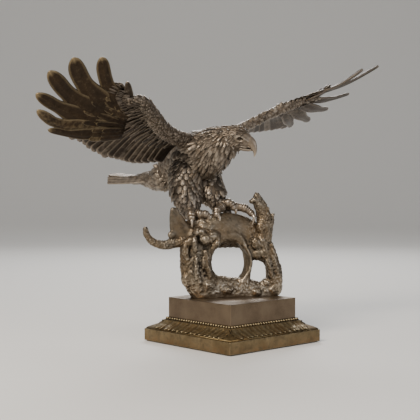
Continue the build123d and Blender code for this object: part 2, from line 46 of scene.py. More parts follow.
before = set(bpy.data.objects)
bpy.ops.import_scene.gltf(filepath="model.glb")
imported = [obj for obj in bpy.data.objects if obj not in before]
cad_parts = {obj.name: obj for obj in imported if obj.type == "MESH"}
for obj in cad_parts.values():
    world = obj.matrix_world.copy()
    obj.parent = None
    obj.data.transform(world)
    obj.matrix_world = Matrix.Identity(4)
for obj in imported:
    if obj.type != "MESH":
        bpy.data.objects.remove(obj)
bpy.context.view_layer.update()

MM = 0.001
BODY = "root"
ROOT_TURN = math.radians(-27)
ROOT_SETBACK = 8.0
PERCH_RISE = 88.0
BREAST_AHEAD = 10.0
BLOCK_LOW, BLOCK_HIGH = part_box("plinth_block")
SLAB_LOW, SLAB_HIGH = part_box("plinth_slab")
LEAF_LOW, LEAF_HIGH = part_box("leaf_moulding")
BEAD_LOW, BEAD_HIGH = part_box("bead_moulding")
FELT_LOW, FELT_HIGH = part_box("felt_pad")
TORSO_LOW, TORSO_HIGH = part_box("torso")
PERCH = Vector((
    (TORSO_LOW.x + TORSO_HIGH.x) / 2,
    TORSO_LOW.y + BREAST_AHEAD * MM,
    BLOCK_HIGH.z + PERCH_RISE * MM,
))


def bird(x, y, z):
    """A point of the eagle, in millimetres from the perch between its feet."""
    return np.array(PERCH) + np.array((x, y, z)) * MM


def root(u, w, z):
    """A point of the root: millimetres along its face, behind its mid-plane and above the block."""
    deep = w + ROOT_SETBACK
    x = u * math.cos(ROOT_TURN) - deep * math.sin(ROOT_TURN)
    y = u * math.sin(ROOT_TURN) + deep * math.cos(ROOT_TURN)
    return np.array((x * MM, y * MM, BLOCK_HIGH.z + z * MM))


# --- Small tools -------------------------------------------------------------------------------


def linear(hex_colour):
    """An sRGB hex colour as linear RGBA."""
    channels = [int(hex_colour[i:i + 2], 16) / 255 for i in (1, 3, 5)]
    straight = [c / 12.92 if c <= 0.04045 else ((c + 0.055) / 1.055) ** 2.4 for c in channels]
    return (*straight, 1.0)


def unit(vector):
    """The vector at length one."""
    return vector / max(np.linalg.norm(vector), 1e-12)


def smoothstep(low, high, value):
    """A soft step from 0 at low to 1 at high."""
    share = np.clip((np.asarray(value, float) - low) / (high - low), 0, 1)
    return share * share * (3 - 2 * share)


class Shell:
    """Vertices, faces, UVs and per-vertex values of meshes that are gathered before they are made."""

    def __init__(self):
        self.points, self.faces, self.uvs, self.wear, self.tone = [], [], [], [], []
        self.count = 0

    def add(self, points, faces, uvs=None, wear=None, tone=None):
        size = len(points)
        self.points.append(np.asarray(points, float))
        self.faces += [tuple(index + self.count for index in face) for face in faces]
        self.uvs.append(np.zeros((size, 2)) if uvs is None else np.asarray(uvs, float))
        self.wear.append(np.zeros(size) if wear is None else np.asarray(wear, float))
        self.tone.append(np.zeros(size) if tone is None else np.asarray(tone, float))
        self.count += size

    def make(self, name):
        """Turns what was gathered into a mesh object."""
        mesh = bpy.data.meshes.new(name)
        mesh.from_pydata(np.concatenate(self.points).tolist(), [], self.faces)
        uvs = np.concatenate(self.uvs)
        loops = np.zeros(len(mesh.loops), np.int32)
        mesh.loops.foreach_get("vertex_index", loops)
        layer = mesh.uv_layers.new(name="UVMap")
        layer.data.foreach_set("uv", uvs[loops].ravel())
        set_value(mesh, "wear", np.concatenate(self.wear))
        set_value(mesh, "tone", np.concatenate(self.tone))
        mesh.polygons.foreach_set("use_smooth", [True] * len(mesh.polygons))
        obj = bpy.data.objects.new(name, mesh)
        bpy.context.scene.collection.objects.link(obj)
        return obj


def set_value(mesh, name, values, kind="FLOAT"):
    """Stores one value, or one vector, for each vertex of a mesh."""
    layer = mesh.attributes.get(name) or mesh.attributes.new(name, kind, "POINT")
    key = "vector" if kind == "FLOAT_VECTOR" else "value"
    layer.data.foreach_set(key, np.asarray(values, float).ravel())


def vertex_places(mesh):
    places = np.zeros(len(mesh.vertices) * 3)
    mesh.vertices.foreach_get("co", places)
    return places.reshape(-1, 3)


def vertex_normals(mesh):
    normals = np.zeros(len(mesh.vertices) * 3)
    mesh.vertex_normals.foreach_get("vector", normals)
    return normals.reshape(-1, 3)


def curve_through(stations, steps):
    """A smooth path through stations of x, y, z, radius values, with steps between each two."""
    rows = np.array(stations, float)
    padded = np.vstack([2 * rows[0] - rows[1], rows, 2 * rows[-1] - rows[-2]])
    path = []
    for index in range(len(rows) - 1):
        before, start, end, after = padded[index:index + 4]
        for step in range(steps):
            t = step / steps
            path.append(0.5 * (
                2 * start + (end - before) * t
                + (2 * before - 5 * start + 4 * end - after) * t * t
                + (3 * start - before - 3 * end + after) * t ** 3
            ))
    path.append(rows[-1])
    return np.array(path)


def tube(shell, stations, sides=20, steps=6, flat=1.0, side=(0, 0, 1), wear=0.0, tone=0.0):
    """Adds a closed tapered tube with round ends.

    Stations hold a point in metres, a half width in mm and, where it differs, a half height.
    """
    rows = [(*s[0], s[1] * MM, (s[2] if len(s) > 2 else s[1] * flat) * MM) for s in stations]
    path = curve_through(rows, steps)
    centres, radii = path[:, :3], np.maximum(path[:, 3:5], 0.1 * MM)
    headings = np.gradient(centres, axis=0)
    ends = []
    for end, way in ((0, -1), (-1, 1)):
        heading = unit(headings[end])
        reach = radii[end].min()
        ends.append([(centres[end] + way * heading * reach * math.sin(a), radii[end] * math.cos(a), heading)
                     for a in (0.45, 0.9, 1.25)])
    middle = [(centres[i], radii[i], unit(headings[i])) for i in range(len(path))]
    ordered = ends[0][::-1] + middle + ends[1]
    angles = np.linspace(0, 2 * math.pi, sides, endpoint=False)
    points = []
    for centre, radius, heading in ordered:
        across = unit(np.cross(side, heading))
        up = np.cross(heading, across)
        ring = np.outer(np.cos(angles) * radius[0], across) + np.outer(np.sin(angles) * radius[1], up)
        points.append(centre + ring)
    first = ordered[0][0] - ordered[0][2] * radii[0].min() * 0.06
    last = ordered[-1][0] + ordered[-1][2] * radii[-1].min() * 0.06
    points = np.vstack(points + [[first], [last]])
    faces = ring_faces(len(ordered), sides)
    start, end = len(points) - 2, len(points) - 1
    top = (len(ordered) - 1) * sides
    for k in range(sides):
        faces.append((start, (k + 1) % sides, k))
        faces.append((end, top + k, top + (k + 1) % sides))
    shell.add(points, faces, wear=np.full(len(points), wear), tone=np.full(len(points), tone))


def ring_faces(rings, sides):
    """Quads between rings of points."""
    return [
        (r * sides + k, r * sides + (k + 1) % sides, (r + 1) * sides + (k + 1) % sides, (r + 1) * sides + k)
        for r in range(rings - 1) for k in range(sides)
    ]


def ball(shell, centre, half_sizes, turn=None, rings=14, sides=24):
    """Adds an egg-shaped solid with three half sizes in mm, and an optional 3 x 3 turn."""
    angles = np.linspace(0, 2 * math.pi, sides, endpoint=False)
    points = []
    for tilt in np.linspace(-math.pi / 2, math.pi / 2, rings + 2)[1:-1]:
        points += [(math.cos(tilt) * math.cos(a), math.cos(tilt) * math.sin(a),
                    math.sin(tilt)) for a in angles]
    points += [(0, 0, -1), (0, 0, 1)]
    points = np.array(points) * np.array(half_sizes) * MM
    if turn is not None:
        points = points @ np.array(turn)
    faces = ring_faces(rings, sides)
    low, high, top = len(points) - 2, len(points) - 1, (rings - 1) * sides
    for k in range(sides):
        faces.append((low, (k + 1) % sides, k))
        faces.append((high, top + k, top + (k + 1) % sides))
    shell.add(points + np.asarray(centre), faces)


def baked(obj, name):
    """A plain object made from what another object's modifiers show; the other object is removed."""
    bpy.context.view_layer.update()
    seen = obj.evaluated_get(bpy.context.evaluated_depsgraph_get())
    mesh = bpy.data.meshes.new_from_object(seen)
    mesh.name = name
    bpy.data.objects.remove(obj)
    plain = bpy.data.objects.new(name, mesh)
    bpy.context.scene.collection.objects.link(plain)
    return plain


def fused(name, shell, voxel, smoothing=4):
    """One skin round all the shells that were gathered, with its small creases smoothed."""
    rough = shell.make(name + "_rough")
    remesh = rough.modifiers.new("skin", "REMESH")
    remesh.mode = "VOXEL"
    remesh.voxel_size = voxel * MM
    if smoothing:
        relax = rough.modifiers.new("relax", "SMOOTH")
        relax.factor = 0.5
        relax.iterations = smoothing
    skin = baked(rough, name)
    skin.data.polygons.foreach_set("use_smooth", [True] * len(skin.data.polygons))
    return skin


def neighbours(mesh):
    """Both ends of every edge, each way round, and how many neighbours each vertex has."""
    ends = np.zeros(len(mesh.edges) * 2, np.int64)
    mesh.edges.foreach_get("vertices", ends)
    pairs = ends.reshape(-1, 2)
    here = np.concatenate([pairs[:, 0], pairs[:, 1]])
    there = np.concatenate([pairs[:, 1], pairs[:, 0]])
    return here, there, np.maximum(np.bincount(here, minlength=len(mesh.vertices)), 1)


def spread(values, mesh, rounds):
    """Averages a value with its neighbours' a number of times."""
    here, there, counts = neighbours(mesh)
    for _ in range(rounds):
        values = 0.5 * values + 0.5 * np.bincount(here, values[there], len(counts)) / counts
    return values


def curvature(mesh, rounds=2, strength=1.0):
    """How far each vertex stands proud of its neighbours: over 0 on edges, under 0 in hollows."""
    places, normals = vertex_places(mesh), vertex_normals(mesh)
    here, there, counts = neighbours(mesh)
    mean = np.stack([np.bincount(here, places[there, k], len(counts)) / counts for k in range(3)], 1)
    gaps = np.linalg.norm(places[here] - places[there], axis=1)
    size = np.bincount(here, gaps, len(counts)) / counts
    proud = ((places - mean) * normals).sum(1) / np.maximum(size, 1e-6)
    proud = spread(proud, mesh, rounds)
    return np.clip(proud * 6 * strength, -1, 1)


def push(mesh, amounts):
    """Moves each vertex along its normal, by amounts in millimetres."""
    places = vertex_places(mesh) + vertex_normals(mesh) * (np.asarray(amounts) * MM)[:, None]
    mesh.vertices.foreach_set("co", places.ravel())
    mesh.update()


def joined(name, objects):
    """Joins mesh objects into the first one and names it."""
    keep = objects[0]
    with bpy.context.temp_override(active_object=keep, selected_editable_objects=objects):
        bpy.ops.object.join()
    keep.name = name
    keep.data.name = name
    return keep


# --- Node helpers ------------------------------------------------------------------------------


def add_node(tree, kind, settings=None, inputs=None):
    """Adds a node. Inputs are named by socket identifier or name; each is a value or an output."""
    node = tree.nodes.new(kind)
    for key, value in (settings or {}).items():
        setattr(node, key, value)
    for key, value in (inputs or {}).items():
        exact = [socket for socket in node.inputs if socket.identifier == key]
        socket = exact[0] if exact else node.inputs[key]
        if isinstance(value, bpy.types.NodeSocket):
            tree.links.new(value, socket)
        else:
            socket.default_value = value
    return node


def new_material(name):
    """A fresh material with a Principled shader; returns the material, its tree and the shader."""
    material = bpy.data.materials.new(name)
    material.use_nodes = True
    tree = material.node_tree
    tree.nodes.clear()
    shader = add_node(tree, "ShaderNodeBsdfPrincipled")
    add_node(tree, "ShaderNodeOutputMaterial", inputs={"Surface": shader.outputs["BSDF"]})
    return material, tree, shader


def grain(tree, coords, size_mm, detail=3.0, rough=0.55):
    """Noise whose features are about size_mm across."""
    return add_node(tree, "ShaderNodeTexNoise", inputs={
        "Vector": coords, "Scale": 1 / (size_mm * MM), "Detail": detail, "Roughness": rough,
    }).outputs["Fac"]


def remap(tree, value, low, high, to_low=0.0, to_high=1.0):
    """A value taken from one range into another, held at its ends."""
    return add_node(tree, "ShaderNodeMapRange", inputs={
        "Value": value, "From Min": low, "From Max": high, "To Min": to_low, "To Max": to_high,
    }).outputs["Result"]


def mix_colour(tree, share, first, second, blend="MIX"):
    """Two colours mixed; each can be a colour or an output."""
    mixed = add_node(tree, "ShaderNodeMix", {"data_type": "RGBA", "blend_type": blend}, {
        "Factor_Float": share, "A_Color": first, "B_Color": second,
    })
    return next(socket for socket in mixed.outputs if socket.identifier == "Result_Color")


def sum_of(tree, first, second, operation="ADD"):
    """Two values put together."""
    return add_node(tree, "ShaderNodeMath", {"operation": operation}, {
        "Value": first, "Value_001": second,
    }).outputs["Value"]


def stored(tree, name):
    """A value kept on the mesh's points."""
    return add_node(tree, "ShaderNodeAttribute", {"attribute_name": name}).outputs["Fac"]


def bronze(name, hollow, plain, rubbed, rough=(0.34, 0.56), cast=0.03, barbs=0.0, tint=None, metal=0.88):
    """Patinated bronze: dark in the hollows, rubbed bright on the edges, with a fine cast grain.

    cast is the depth of the grain in mm, barbs that of the lines cut across each feather. tint is a
    second patina colour that comes up in clouds a few centimetres across.
    """
    material, tree, shader = new_material(name)
    coords = add_node(tree, "ShaderNodeTexCoord").outputs["Object"]
    wear, tone = stored(tree, "wear"), stored(tree, "tone")
    clouds, blots, fine = grain(tree, coords, 22), grain(tree, coords, 4.5, 5), grain(tree, coords, 0.9, 4)
    colour = mix_colour(tree, remap(tree, clouds, 0.35, 0.68), linear(plain), linear(tint or plain))
    shade = sum_of(tree, sum_of(tree, blots, 0.5, "SUBTRACT"), sum_of(tree, tone, 0.28, "MULTIPLY"))
    colour = mix_colour(tree, remap(tree, shade, -0.02, -0.34, 0, 0.6), colour, linear(hollow))
    colour = mix_colour(tree, remap(tree, shade, 0.04, 0.42, 0, 0.55), colour, linear(rubbed))
    broken = sum_of(tree, wear, sum_of(tree, sum_of(tree, fine, 0.5, "SUBTRACT"), 0.5, "MULTIPLY"))
    colour = mix_colour(tree, remap(tree, broken, -0.08, -0.62, 0, 0.94), colour, linear(hollow))
    colour = mix_colour(tree, remap(tree, broken, 0.10, 0.75, 0, 0.85), colour, linear(rubbed))
    dull = remap(tree, broken, -0.35, 0.5, rough[1], rough[0])
    dull = sum_of(tree, dull, remap(tree, blots, 0.3, 0.7, -0.06, 0.06))
    relief = sum_of(tree, sum_of(tree, fine, 0.7, "MULTIPLY"), sum_of(tree, blots, 0.9, "MULTIPLY"))
    surface = add_node(tree, "ShaderNodeBump", inputs={
        "Strength": 1.0, "Distance": cast * MM, "Height": relief,
    }).outputs["Normal"]
    if barbs:
        lay = add_node(tree, "ShaderNodeUVMap", {"uv_map": "UVMap"}).outputs["UV"]
        parts = add_node(tree, "ShaderNodeSeparateXYZ", inputs={"Vector": lay})
        wave = add_node(tree, "ShaderNodeMath", {"operation": "SINE"}, {
            "Value": sum_of(tree, parts.outputs["X"], 2 * math.pi, "MULTIPLY"),
        }).outputs["Value"]
        cut = sum_of(tree, wave, parts.outputs["Y"], "MULTIPLY")
        surface = add_node(tree, "ShaderNodeBump", inputs={
            "Strength": 1.0, "Distance": barbs * MM, "Height": cut, "Normal": surface,
        }).outputs["Normal"]
    tree.links.new(colour, shader.inputs["Base Color"])
    tree.links.new(dull, shader.inputs["Roughness"])
    tree.links.new(surface, shader.inputs["Normal"])
    shader.inputs["Metallic"].default_value = metal
    return material


def block_bronze():
    """Block of the plinth: a smooth brown wax over filed bronze, gently uneven so its light wavers."""
    material, tree, shader = new_material("Bronze, filed and waxed brown")
    coords = add_node(tree, "ShaderNodeTexCoord").outputs["Object"]
    clouds, fine = grain(tree, coords, 26, 4), grain(tree, coords, 1.2, 4)
    colour = mix_colour(tree, remap(tree, clouds, 0.36, 0.66), linear("#5a4b3c"), linear("#736350"))
    colour = mix_colour(tree, remap(tree, fine, 0.42, 0.8, 0, 0.35), colour, linear("#86735a"))
    edge = add_node(tree, "ShaderNodeBevel", {"samples": 6}, {"Radius": 0.9 * MM}).outputs["Normal"]
    bare = add_node(tree, "ShaderNodeNewGeometry").outputs["Normal"]
    turn = add_node(tree, "ShaderNodeVectorMath", {"operation": "DOT_PRODUCT"}, {
        "Vector": edge, "Vector_001": bare,
    }).outputs["Value"]
    colour = mix_colour(tree, remap(tree, turn, 0.995, 0.90, 0, 0.8), colour, linear("#a08c6e"))
    height = sum_of(tree, clouds, sum_of(tree, fine, 0.06, "MULTIPLY"))
    surface = add_node(tree, "ShaderNodeBump", inputs={
        "Strength": 1.0, "Distance": 0.35 * MM, "Height": height, "Normal": edge,
    }).outputs["Normal"]
    tree.links.new(colour, shader.inputs["Base Color"])
    tree.links.new(remap(tree, clouds, 0.3, 0.7, 0.30, 0.42), shader.inputs["Roughness"])
    tree.links.new(surface, shader.inputs["Normal"])
    shader.inputs["Metallic"].default_value = 0.85
    return material


def slab_bronze():
    """Slab of the plinth: golden patina with orange clouds near its foot and rubbed corners."""
    material, tree, shader = new_material("Bronze, cast and patinated golden")
    coords = add_node(tree, "ShaderNodeTexCoord").outputs["Object"]
    clouds, blots, fine = grain(tree, coords, 17, 5), grain(tree, coords, 4, 4), grain(tree, coords, 0.7, 3)
    height_up = add_node(tree, "ShaderNodeSeparateXYZ", inputs={"Vector": coords}).outputs["Z"]
    colour = mix_colour(tree, remap(tree, clouds, 0.36, 0.66), linear("#6c5c40"), linear("#897757"))
    low = remap(tree, height_up, 13 * MM, 2 * MM, 0.0, 0.42)
    rust = sum_of(tree, low, remap(tree, blots, 0.38, 0.62), "MULTIPLY")
    colour = mix_colour(tree, rust, colour, linear("#7b5533"))
    colour = mix_colour(tree, remap(tree, blots, 0.55, 0.25, 0, 0.6), colour, linear("#33271a"))
    edge = add_node(tree, "ShaderNodeBevel", {"samples": 6}, {"Radius": 1.0 * MM}).outputs["Normal"]
    bare = add_node(tree, "ShaderNodeNewGeometry").outputs["Normal"]
    turn = add_node(tree, "ShaderNodeVectorMath", {"operation": "DOT_PRODUCT"}, {
        "Vector": edge, "Vector_001": bare,
    }).outputs["Value"]
    colour = mix_colour(tree, remap(tree, turn, 0.995, 0.88, 0, 0.7), colour, linear("#b3a283"))
    height = sum_of(tree, sum_of(tree, clouds, 2.0, "MULTIPLY"), sum_of(tree, fine, 0.35, "MULTIPLY"))
    surface = add_node(tree, "ShaderNodeBump", inputs={
        "Strength": 1.0, "Distance": 0.16 * MM, "Height": height, "Normal": edge,
    }).outputs["Normal"]
    tree.links.new(colour, shader.inputs["Base Color"])
    tree.links.new(remap(tree, blots, 0.3, 0.7, 0.36, 0.54), shader.inputs["Roughness"])
    tree.links.new(surface, shader.inputs["Normal"])
    shader.inputs["Metallic"].default_value = 0.85
    return material


def zinc_steel():
    """Hidden fixings: zinc-plated steel, grey with faint crystals and fine drawn marks."""
    material, tree, shader = new_material("Steel, zinc plated")
    coords = add_node(tree, "ShaderNodeTexCoord").outputs["Object"]
    spangle = add_node(tree, "ShaderNodeTexVoronoi", inputs={"Vector": coords, "Scale": 1 / (1.5 * MM)})
    fine = grain(tree, coords, 0.5, 3)
    shade = remap(tree, sum_of(tree, spangle.outputs["Distance"], fine), 0.4, 1.3)
    colour = mix_colour(tree, shade, linear("#8f9398"), linear("#b4b7ba"))
    surface = add_node(tree, "ShaderNodeBump", inputs={
        "Strength": 1.0, "Distance": 0.02 * MM, "Height": fine,
    }).outputs["Normal"]
    tree.links.new(colour, shader.inputs["Base Color"])
    tree.links.new(remap(tree, fine, 0.3, 0.7, 0.32, 0.48), shader.inputs["Roughness"])
    tree.links.new(surface, shader.inputs["Normal"])
    shader.inputs["Metallic"].default_value = 1.0
    return material


def wool_felt():
    """Foot of the plinth: pressed wool felt, matt dark green, matted fibres and a soft sheen."""
    material, tree, shader = new_material("Wool felt, pressed and cut")
    coords = add_node(tree, "ShaderNodeTexCoord").outputs["Object"]
    fibre = add_node(tree, "ShaderNodeTexNoise", inputs={
        "Vector": coords, "Scale": 1 / (0.7 * MM), "Detail": 6.0, "Distortion": 2.2,
    }).outputs["Fac"]
    clumps = grain(tree, coords, 5, 3)
    colour = mix_colour(tree, remap(tree, fibre, 0.35, 0.7), linear("#141a16"), linear("#2b352d"))
    colour = mix_colour(tree, remap(tree, clumps, 0.55, 0.8, 0, 0.4), colour, linear("#374038"))
    surface = add_node(tree, "ShaderNodeBump", inputs={
        "Strength": 1.0, "Distance": 0.22 * MM, "Height": fibre,
    }).outputs["Normal"]
    tree.links.new(colour, shader.inputs["Base Color"])
    tree.links.new(surface, shader.inputs["Normal"])
    shader.inputs["Roughness"].default_value = 0.95
    shader.inputs["Sheen Weight"].default_value = 0.35
    shader.inputs["Sheen Roughness"].default_value = 0.5
    return material


# --- Feathers ----------------------------------------------------------------------------------


FEATHER_KINDS = {"scale": (False, 0.20, 5.0), "hackle": (True, 0.26, 7.0)}


def scale_feather(name, pointed, rise, barb_count):
    """One small closed feather of unit size: rooted at the origin, lying along +Y, its face up."""
    stations = [0.0, 0.28, 0.58, 0.84, 1.0]
    if pointed:
        widths = [0.30, 0.44, 0.42, 0.24, 0.03]
    else:
        widths = [0.34, 0.48, 0.5, 0.37, 0.06]
    across = [-1.0, -0.5, 0.0, 0.5, 1.0]
    lifts = [0.25, 0.62, 0.78, 0.55, 0.10]
    shell = Shell()
    points, uvs, wear = [], [], []
    for row, (along, width, lift) in enumerate(zip(stations, widths, lifts)):
        for u in across:
            dome = 1 - u * u
            ridge = 0.22 if u == 0 else 0.0
            tip = along - 0.06 * (1 - abs(u)) * (along - 0.5)
            points.append((u * width, tip, rise * (lift + 0.35 * dome + ridge) - 0.10 * abs(u)))
            uvs.append((along * barb_count + abs(u) * 1.4, 0.9 * min(abs(u) * 1.8, 1.0)))
            rim = 0.22 if abs(u) == 1 and row > 1 else 0.0
            end = 0.38 if row >= 3 else 0.0
            wear.append(max(rim, end, 0.1 * ridge / 0.22) - 0.45 * (row == 0) - 0.12 * (row == 1))
    count = len(across)
    faces = [(r * count + k, r * count + k + 1, (r + 1) * count + k + 1, (r + 1) * count + k)
             for r in range(len(stations) - 1) for k in range(count - 1)]
    for along, width in zip(stations, widths):
        for side in (-1, 1):
            points.append((side * width * 0.8, along * 0.97, -0.28))
            uvs.append((0, 0))
            wear.append(-0.6)
    under = len(stations) * count
    for r in range(len(stations) - 1):
        low, high = under + 2 * r, under + 2 * r + 2
        faces.append((low, high, high + 1, low + 1))
        faces.append((r * count, (r + 1) * count, high, low))
        faces.append(((r + 1) * count - 1, low + 1, high + 1, (r + 2) * count - 1))
    faces.append(tuple(range(count))[::-1] + (under, under + 1))
    last = (len(stations) - 1) * count
    end = under + 2 * (len(stations) - 1)
    faces.append(tuple(range(last, last + count)) + (end + 1, end))
    shell.add(points, faces, uvs, wear)
    feather = shell.make(name)
    feather.data.attributes.remove(feather.data.attributes["tone"])
    tidy = bmesh.new()
    tidy.from_mesh(feather.data)
    bmesh.ops.recalc_face_normals(tidy, faces=tidy.faces)
    tidy.to_mesh(feather.data)
    tidy.free()
    return feather


def feathering_tree():
    """Geometry nodes that lay overlapping feathers over a skin, along its 'flow' values."""
    tree = bpy.data.node_groups.new("Feathering", "GeometryNodeTree")
    face = tree.interface
    face.new_socket("Skin", in_out="INPUT", socket_type="NodeSocketGeometry")
    for label, kind, value in (
        ("Feather", "NodeSocketObject", None), ("Spacing", "NodeSocketFloat", 0.004),
        ("Lift", "NodeSocketFloat", 0.1), ("Stray", "NodeSocketFloat", 0.1),
        ("Seed", "NodeSocketInt", 1), ("Finish", "NodeSocketMaterial", None),
    ):
        socket = face.new_socket(label, in_out="INPUT", socket_type=kind)
        if value is not None:
            socket.default_value = value
    face.new_socket("Feathered", in_out="OUTPUT", socket_type="NodeSocketGeometry")
    given = add_node(tree, "NodeGroupInput").outputs
    square = add_node(tree, "ShaderNodeMath", {"operation": "POWER"},
                      {"Value": given["Spacing"], "Value_001": 2.0})
    density = add_node(tree, "ShaderNodeMath", {"operation": "DIVIDE"}, {
        "Value": 2.2, "Value_001": square.outputs[0],
    })
    cover = add_node(tree, "GeometryNodeInputNamedAttribute", {"data_type": "FLOAT"}, {"Name": "cover"})
    spots = add_node(tree, "GeometryNodeDistributePointsOnFaces", {"distribute_method": "POISSON"}, {
        "Mesh": given["Skin"], "Distance Min": given["Spacing"], "Density Max": density.outputs[0],
        "Density Factor": cover.outputs["Attribute"], "Seed": given["Seed"],
    })
    flow = add_node(tree, "GeometryNodeInputNamedAttribute", {"data_type": "FLOAT_VECTOR"}, {"Name": "flow"})
    laid = add_node(tree, "FunctionNodeAxesToRotation", {"primary_axis": "Z", "secondary_axis": "Y"}, {
        "Primary Axis": spots.outputs["Normal"], "Secondary Axis": flow.outputs["Attribute"],
    })
    stray = add_node(tree, "FunctionNodeRandomValue", {"data_type": "FLOAT_VECTOR"}, {
        "Min": (-0.5, -0.5, -1.0), "Max": (0.5, 0.5, 1.0), "Seed": given["Seed"],
    })
    sway = add_node(tree, "ShaderNodeVectorMath", {"operation": "SCALE"}, {
        "Vector": stray.outputs["Value"], "Scale": given["Stray"],
    })
    lift = add_node(tree, "ShaderNodeCombineXYZ", inputs={"X": given["Lift"]})
    tilt = add_node(tree, "ShaderNodeVectorMath", {"operation": "ADD"}, {
        "Vector": lift.outputs["Vector"], "Vector_001": sway.outputs["Vector"],
    })
    turn = add_node(tree, "FunctionNodeEulerToRotation", inputs={"Euler": tilt.outputs["Vector"]})
    aimed = add_node(tree, "FunctionNodeRotateRotation", {"rotation_space": "LOCAL"}, {
        "Rotation": laid.outputs["Rotation"], "Rotate By": turn.outputs["Rotation"],
    })
    size = add_node(tree, "GeometryNodeInputNamedAttribute", {"data_type": "FLOAT_VECTOR"}, {"Name": "size"})
    vary = add_node(tree, "FunctionNodeRandomValue", {"data_type": "FLOAT"}, {
        "Min_001": 0.84, "Max_001": 1.16, "Seed": 7,
    })
    scale = add_node(tree, "ShaderNodeVectorMath", {"operation": "SCALE"}, {
        "Vector": size.outputs["Attribute"], "Scale": vary.outputs[1],
    })
    feather = add_node(tree, "GeometryNodeObjectInfo", inputs={"Object": given["Feather"]})
    placed = add_node(tree, "GeometryNodeInstanceOnPoints", inputs={
        "Points": spots.outputs["Points"], "Instance": feather.outputs["Geometry"],
        "Rotation": aimed.outputs["Rotation"], "Scale": scale.outputs["Vector"],
    })
    shade = add_node(tree, "FunctionNodeRandomValue", {"data_type": "FLOAT"}, {
        "Min_001": -1.0, "Max_001": 1.0, "Seed": 11,
    })
    toned = add_node(tree, "GeometryNodeStoreNamedAttribute", {"data_type": "FLOAT", "domain": "INSTANCE"}, {
        "Geometry": placed.outputs["Instances"], "Name": "tone", "Value": shade.outputs[1],
    })
    solid = add_node(tree, "GeometryNodeRealizeInstances", inputs={"Geometry": toned.outputs["Geometry"]})
    both = add_node(tree, "GeometryNodeJoinGeometry", inputs={"Geometry": solid.outputs["Geometry"]})
    tree.links.new(given["Skin"], both.inputs["Geometry"])
    done = add_node(tree, "GeometryNodeSetMaterial", inputs={
        "Geometry": both.outputs["Geometry"], "Material": given["Finish"],
    })
    add_node(tree, "NodeGroupOutput", inputs={"Feathered": done.outputs["Geometry"]})
    return tree


def feathered(skin, name, kind, spacing, lift, stray, seed, finish):
    """The skin with one kind of feather laid over it, as one plain mesh."""
    feather = scale_feather("feather_" + kind, *FEATHER_KINDS[kind])
    tree = bpy.data.node_groups.get("Feathering") or feathering_tree()
    layer = skin.modifiers.new("Feathering", "NODES")
    layer.node_group = tree
    values = {"Feather": feather, "Spacing": spacing * MM, "Lift": lift, "Stray": stray,
              "Seed": seed, "Finish": finish}
    for item in tree.interface.items_tree:
        if item.item_type == "SOCKET" and item.name in values:
            layer[item.identifier] = values[item.name]
    covered = baked(skin, name)
    bpy.data.objects.remove(feather)
    return covered


def vane(shell, path, normal, widths, bow=3.0, thick=0.9, finger=0.0, narrow=0.40, lead=0.36, rows=22,
         pitch=1.3, side=1, tone=0.0, root_wear=-0.35, blunt=0.82):
    """Adds one closed flight feather along a path of points in metres, from its root to its tip.

    widths are its full widths in mm at the root and where it is widest. finger is the share of its
    length that narrows to a finger, by the share narrow. side says which edge, of the two, leads.
    """
    line = curve_through([(*point, 0.0) for point in path], 12)[:, :3]
    runs = np.concatenate([[0], np.cumsum(np.linalg.norm(np.diff(line, axis=0), axis=1))])
    length = runs[-1]
    headings = np.gradient(line, axis=0)
    across_at = np.array([-1.0, -0.86, -0.6, -0.3, 0.0, 0.3, 0.6, 0.86, 1.0])
    marks = np.linspace(0, 1, rows + 1)
    marks = 1 - (1 - marks) ** 1.35
    points, uvs, wear = [], [], []
    for t in marks:
        spot = np.array([np.interp(t * length, runs, line[:, k]) for k in range(3)])
        along = unit(np.array([np.interp(t * length, runs, headings[:, k]) for k in range(3)]))
        across = unit(np.cross(along, normal)) * side
        up = unit(np.cross(across, along)) * side
        middle = spot + up * bow * MM * 4 * t * (1 - t)
        full = widths[0] + (widths[1] - widths[0]) * smoothstep(0, 0.45, t)
        if finger:
            full *= 1 - narrow * smoothstep(1 - finger - 0.16, 1 - finger + 0.12, t)
        rounding = math.sqrt(max(0.0, 1 - max(0.0, (t - blunt) / (1 - blunt)) ** 2.2))
        width = max(full * rounding, 0.35)
        for face in (1, -1):
            row = across_at if face == 1 else across_at[1:-1]
            for u in row:
                share = lead if u < 0 else 1 - lead
                flat = u * share * width
                body = thick * (0.42 + 0.5 * (1 - abs(u) ** 2)) if abs(u) < 1 else 0.0
                rib = 0.65 * thick if u == 0 else 0.0
                rim = 0.20 * thick if abs(abs(u) - 0.86) < 0.01 else 0.0
                droop = -0.055 * flat * flat / max(width, 1)
                height = face * 0.5 * (body + rib + rim) * (0.55 + 0.45 * rounding) + droop
                points.append(middle + across * flat * MM + up * height * MM)
                uvs.append(((t * length / MM + abs(flat) * 1.1) / pitch, 0.9 * (0.2 < abs(u) < 0.9)))
                edge = 0.36 * (abs(u) > 0.8) + 0.12 * (u == 0) + 0.6 * smoothstep(0.93, 1.0, t)
                wear.append(min(edge, 0.8) + root_wear * (1 - smoothstep(0, 0.35, t)))
    sides = len(across_at) * 2 - 2
    top = len(across_at)
    order = list(range(top)) + list(range(sides - 1, top - 1, -1))
    faces = []
    for r in range(rows):
        here, there = r * sides, (r + 1) * sides
        for k in range(sides):
            a, b = order[k], order[(k + 1) % sides]
            faces.append((here + a, here + b, there + b, there + a))
    faces.append(tuple(order)[::-1])
    faces.append(tuple(rows * sides + k for k in order))
    if side < 0:
        faces = [face[::-1] for face in faces]
    shell.add(points, faces, uvs, wear, np.full(len(points), tone))


def outward(obj):
    """Turns every closed part of a mesh so that its faces look out."""
    tidy = bmesh.new()
    tidy.from_mesh(obj.data)
    bmesh.ops.recalc_face_normals(tidy, faces=tidy.faces)
    tidy.to_mesh(obj.data)
    tidy.free()
    return obj


# --- Wings -------------------------------------------------------------------------------------


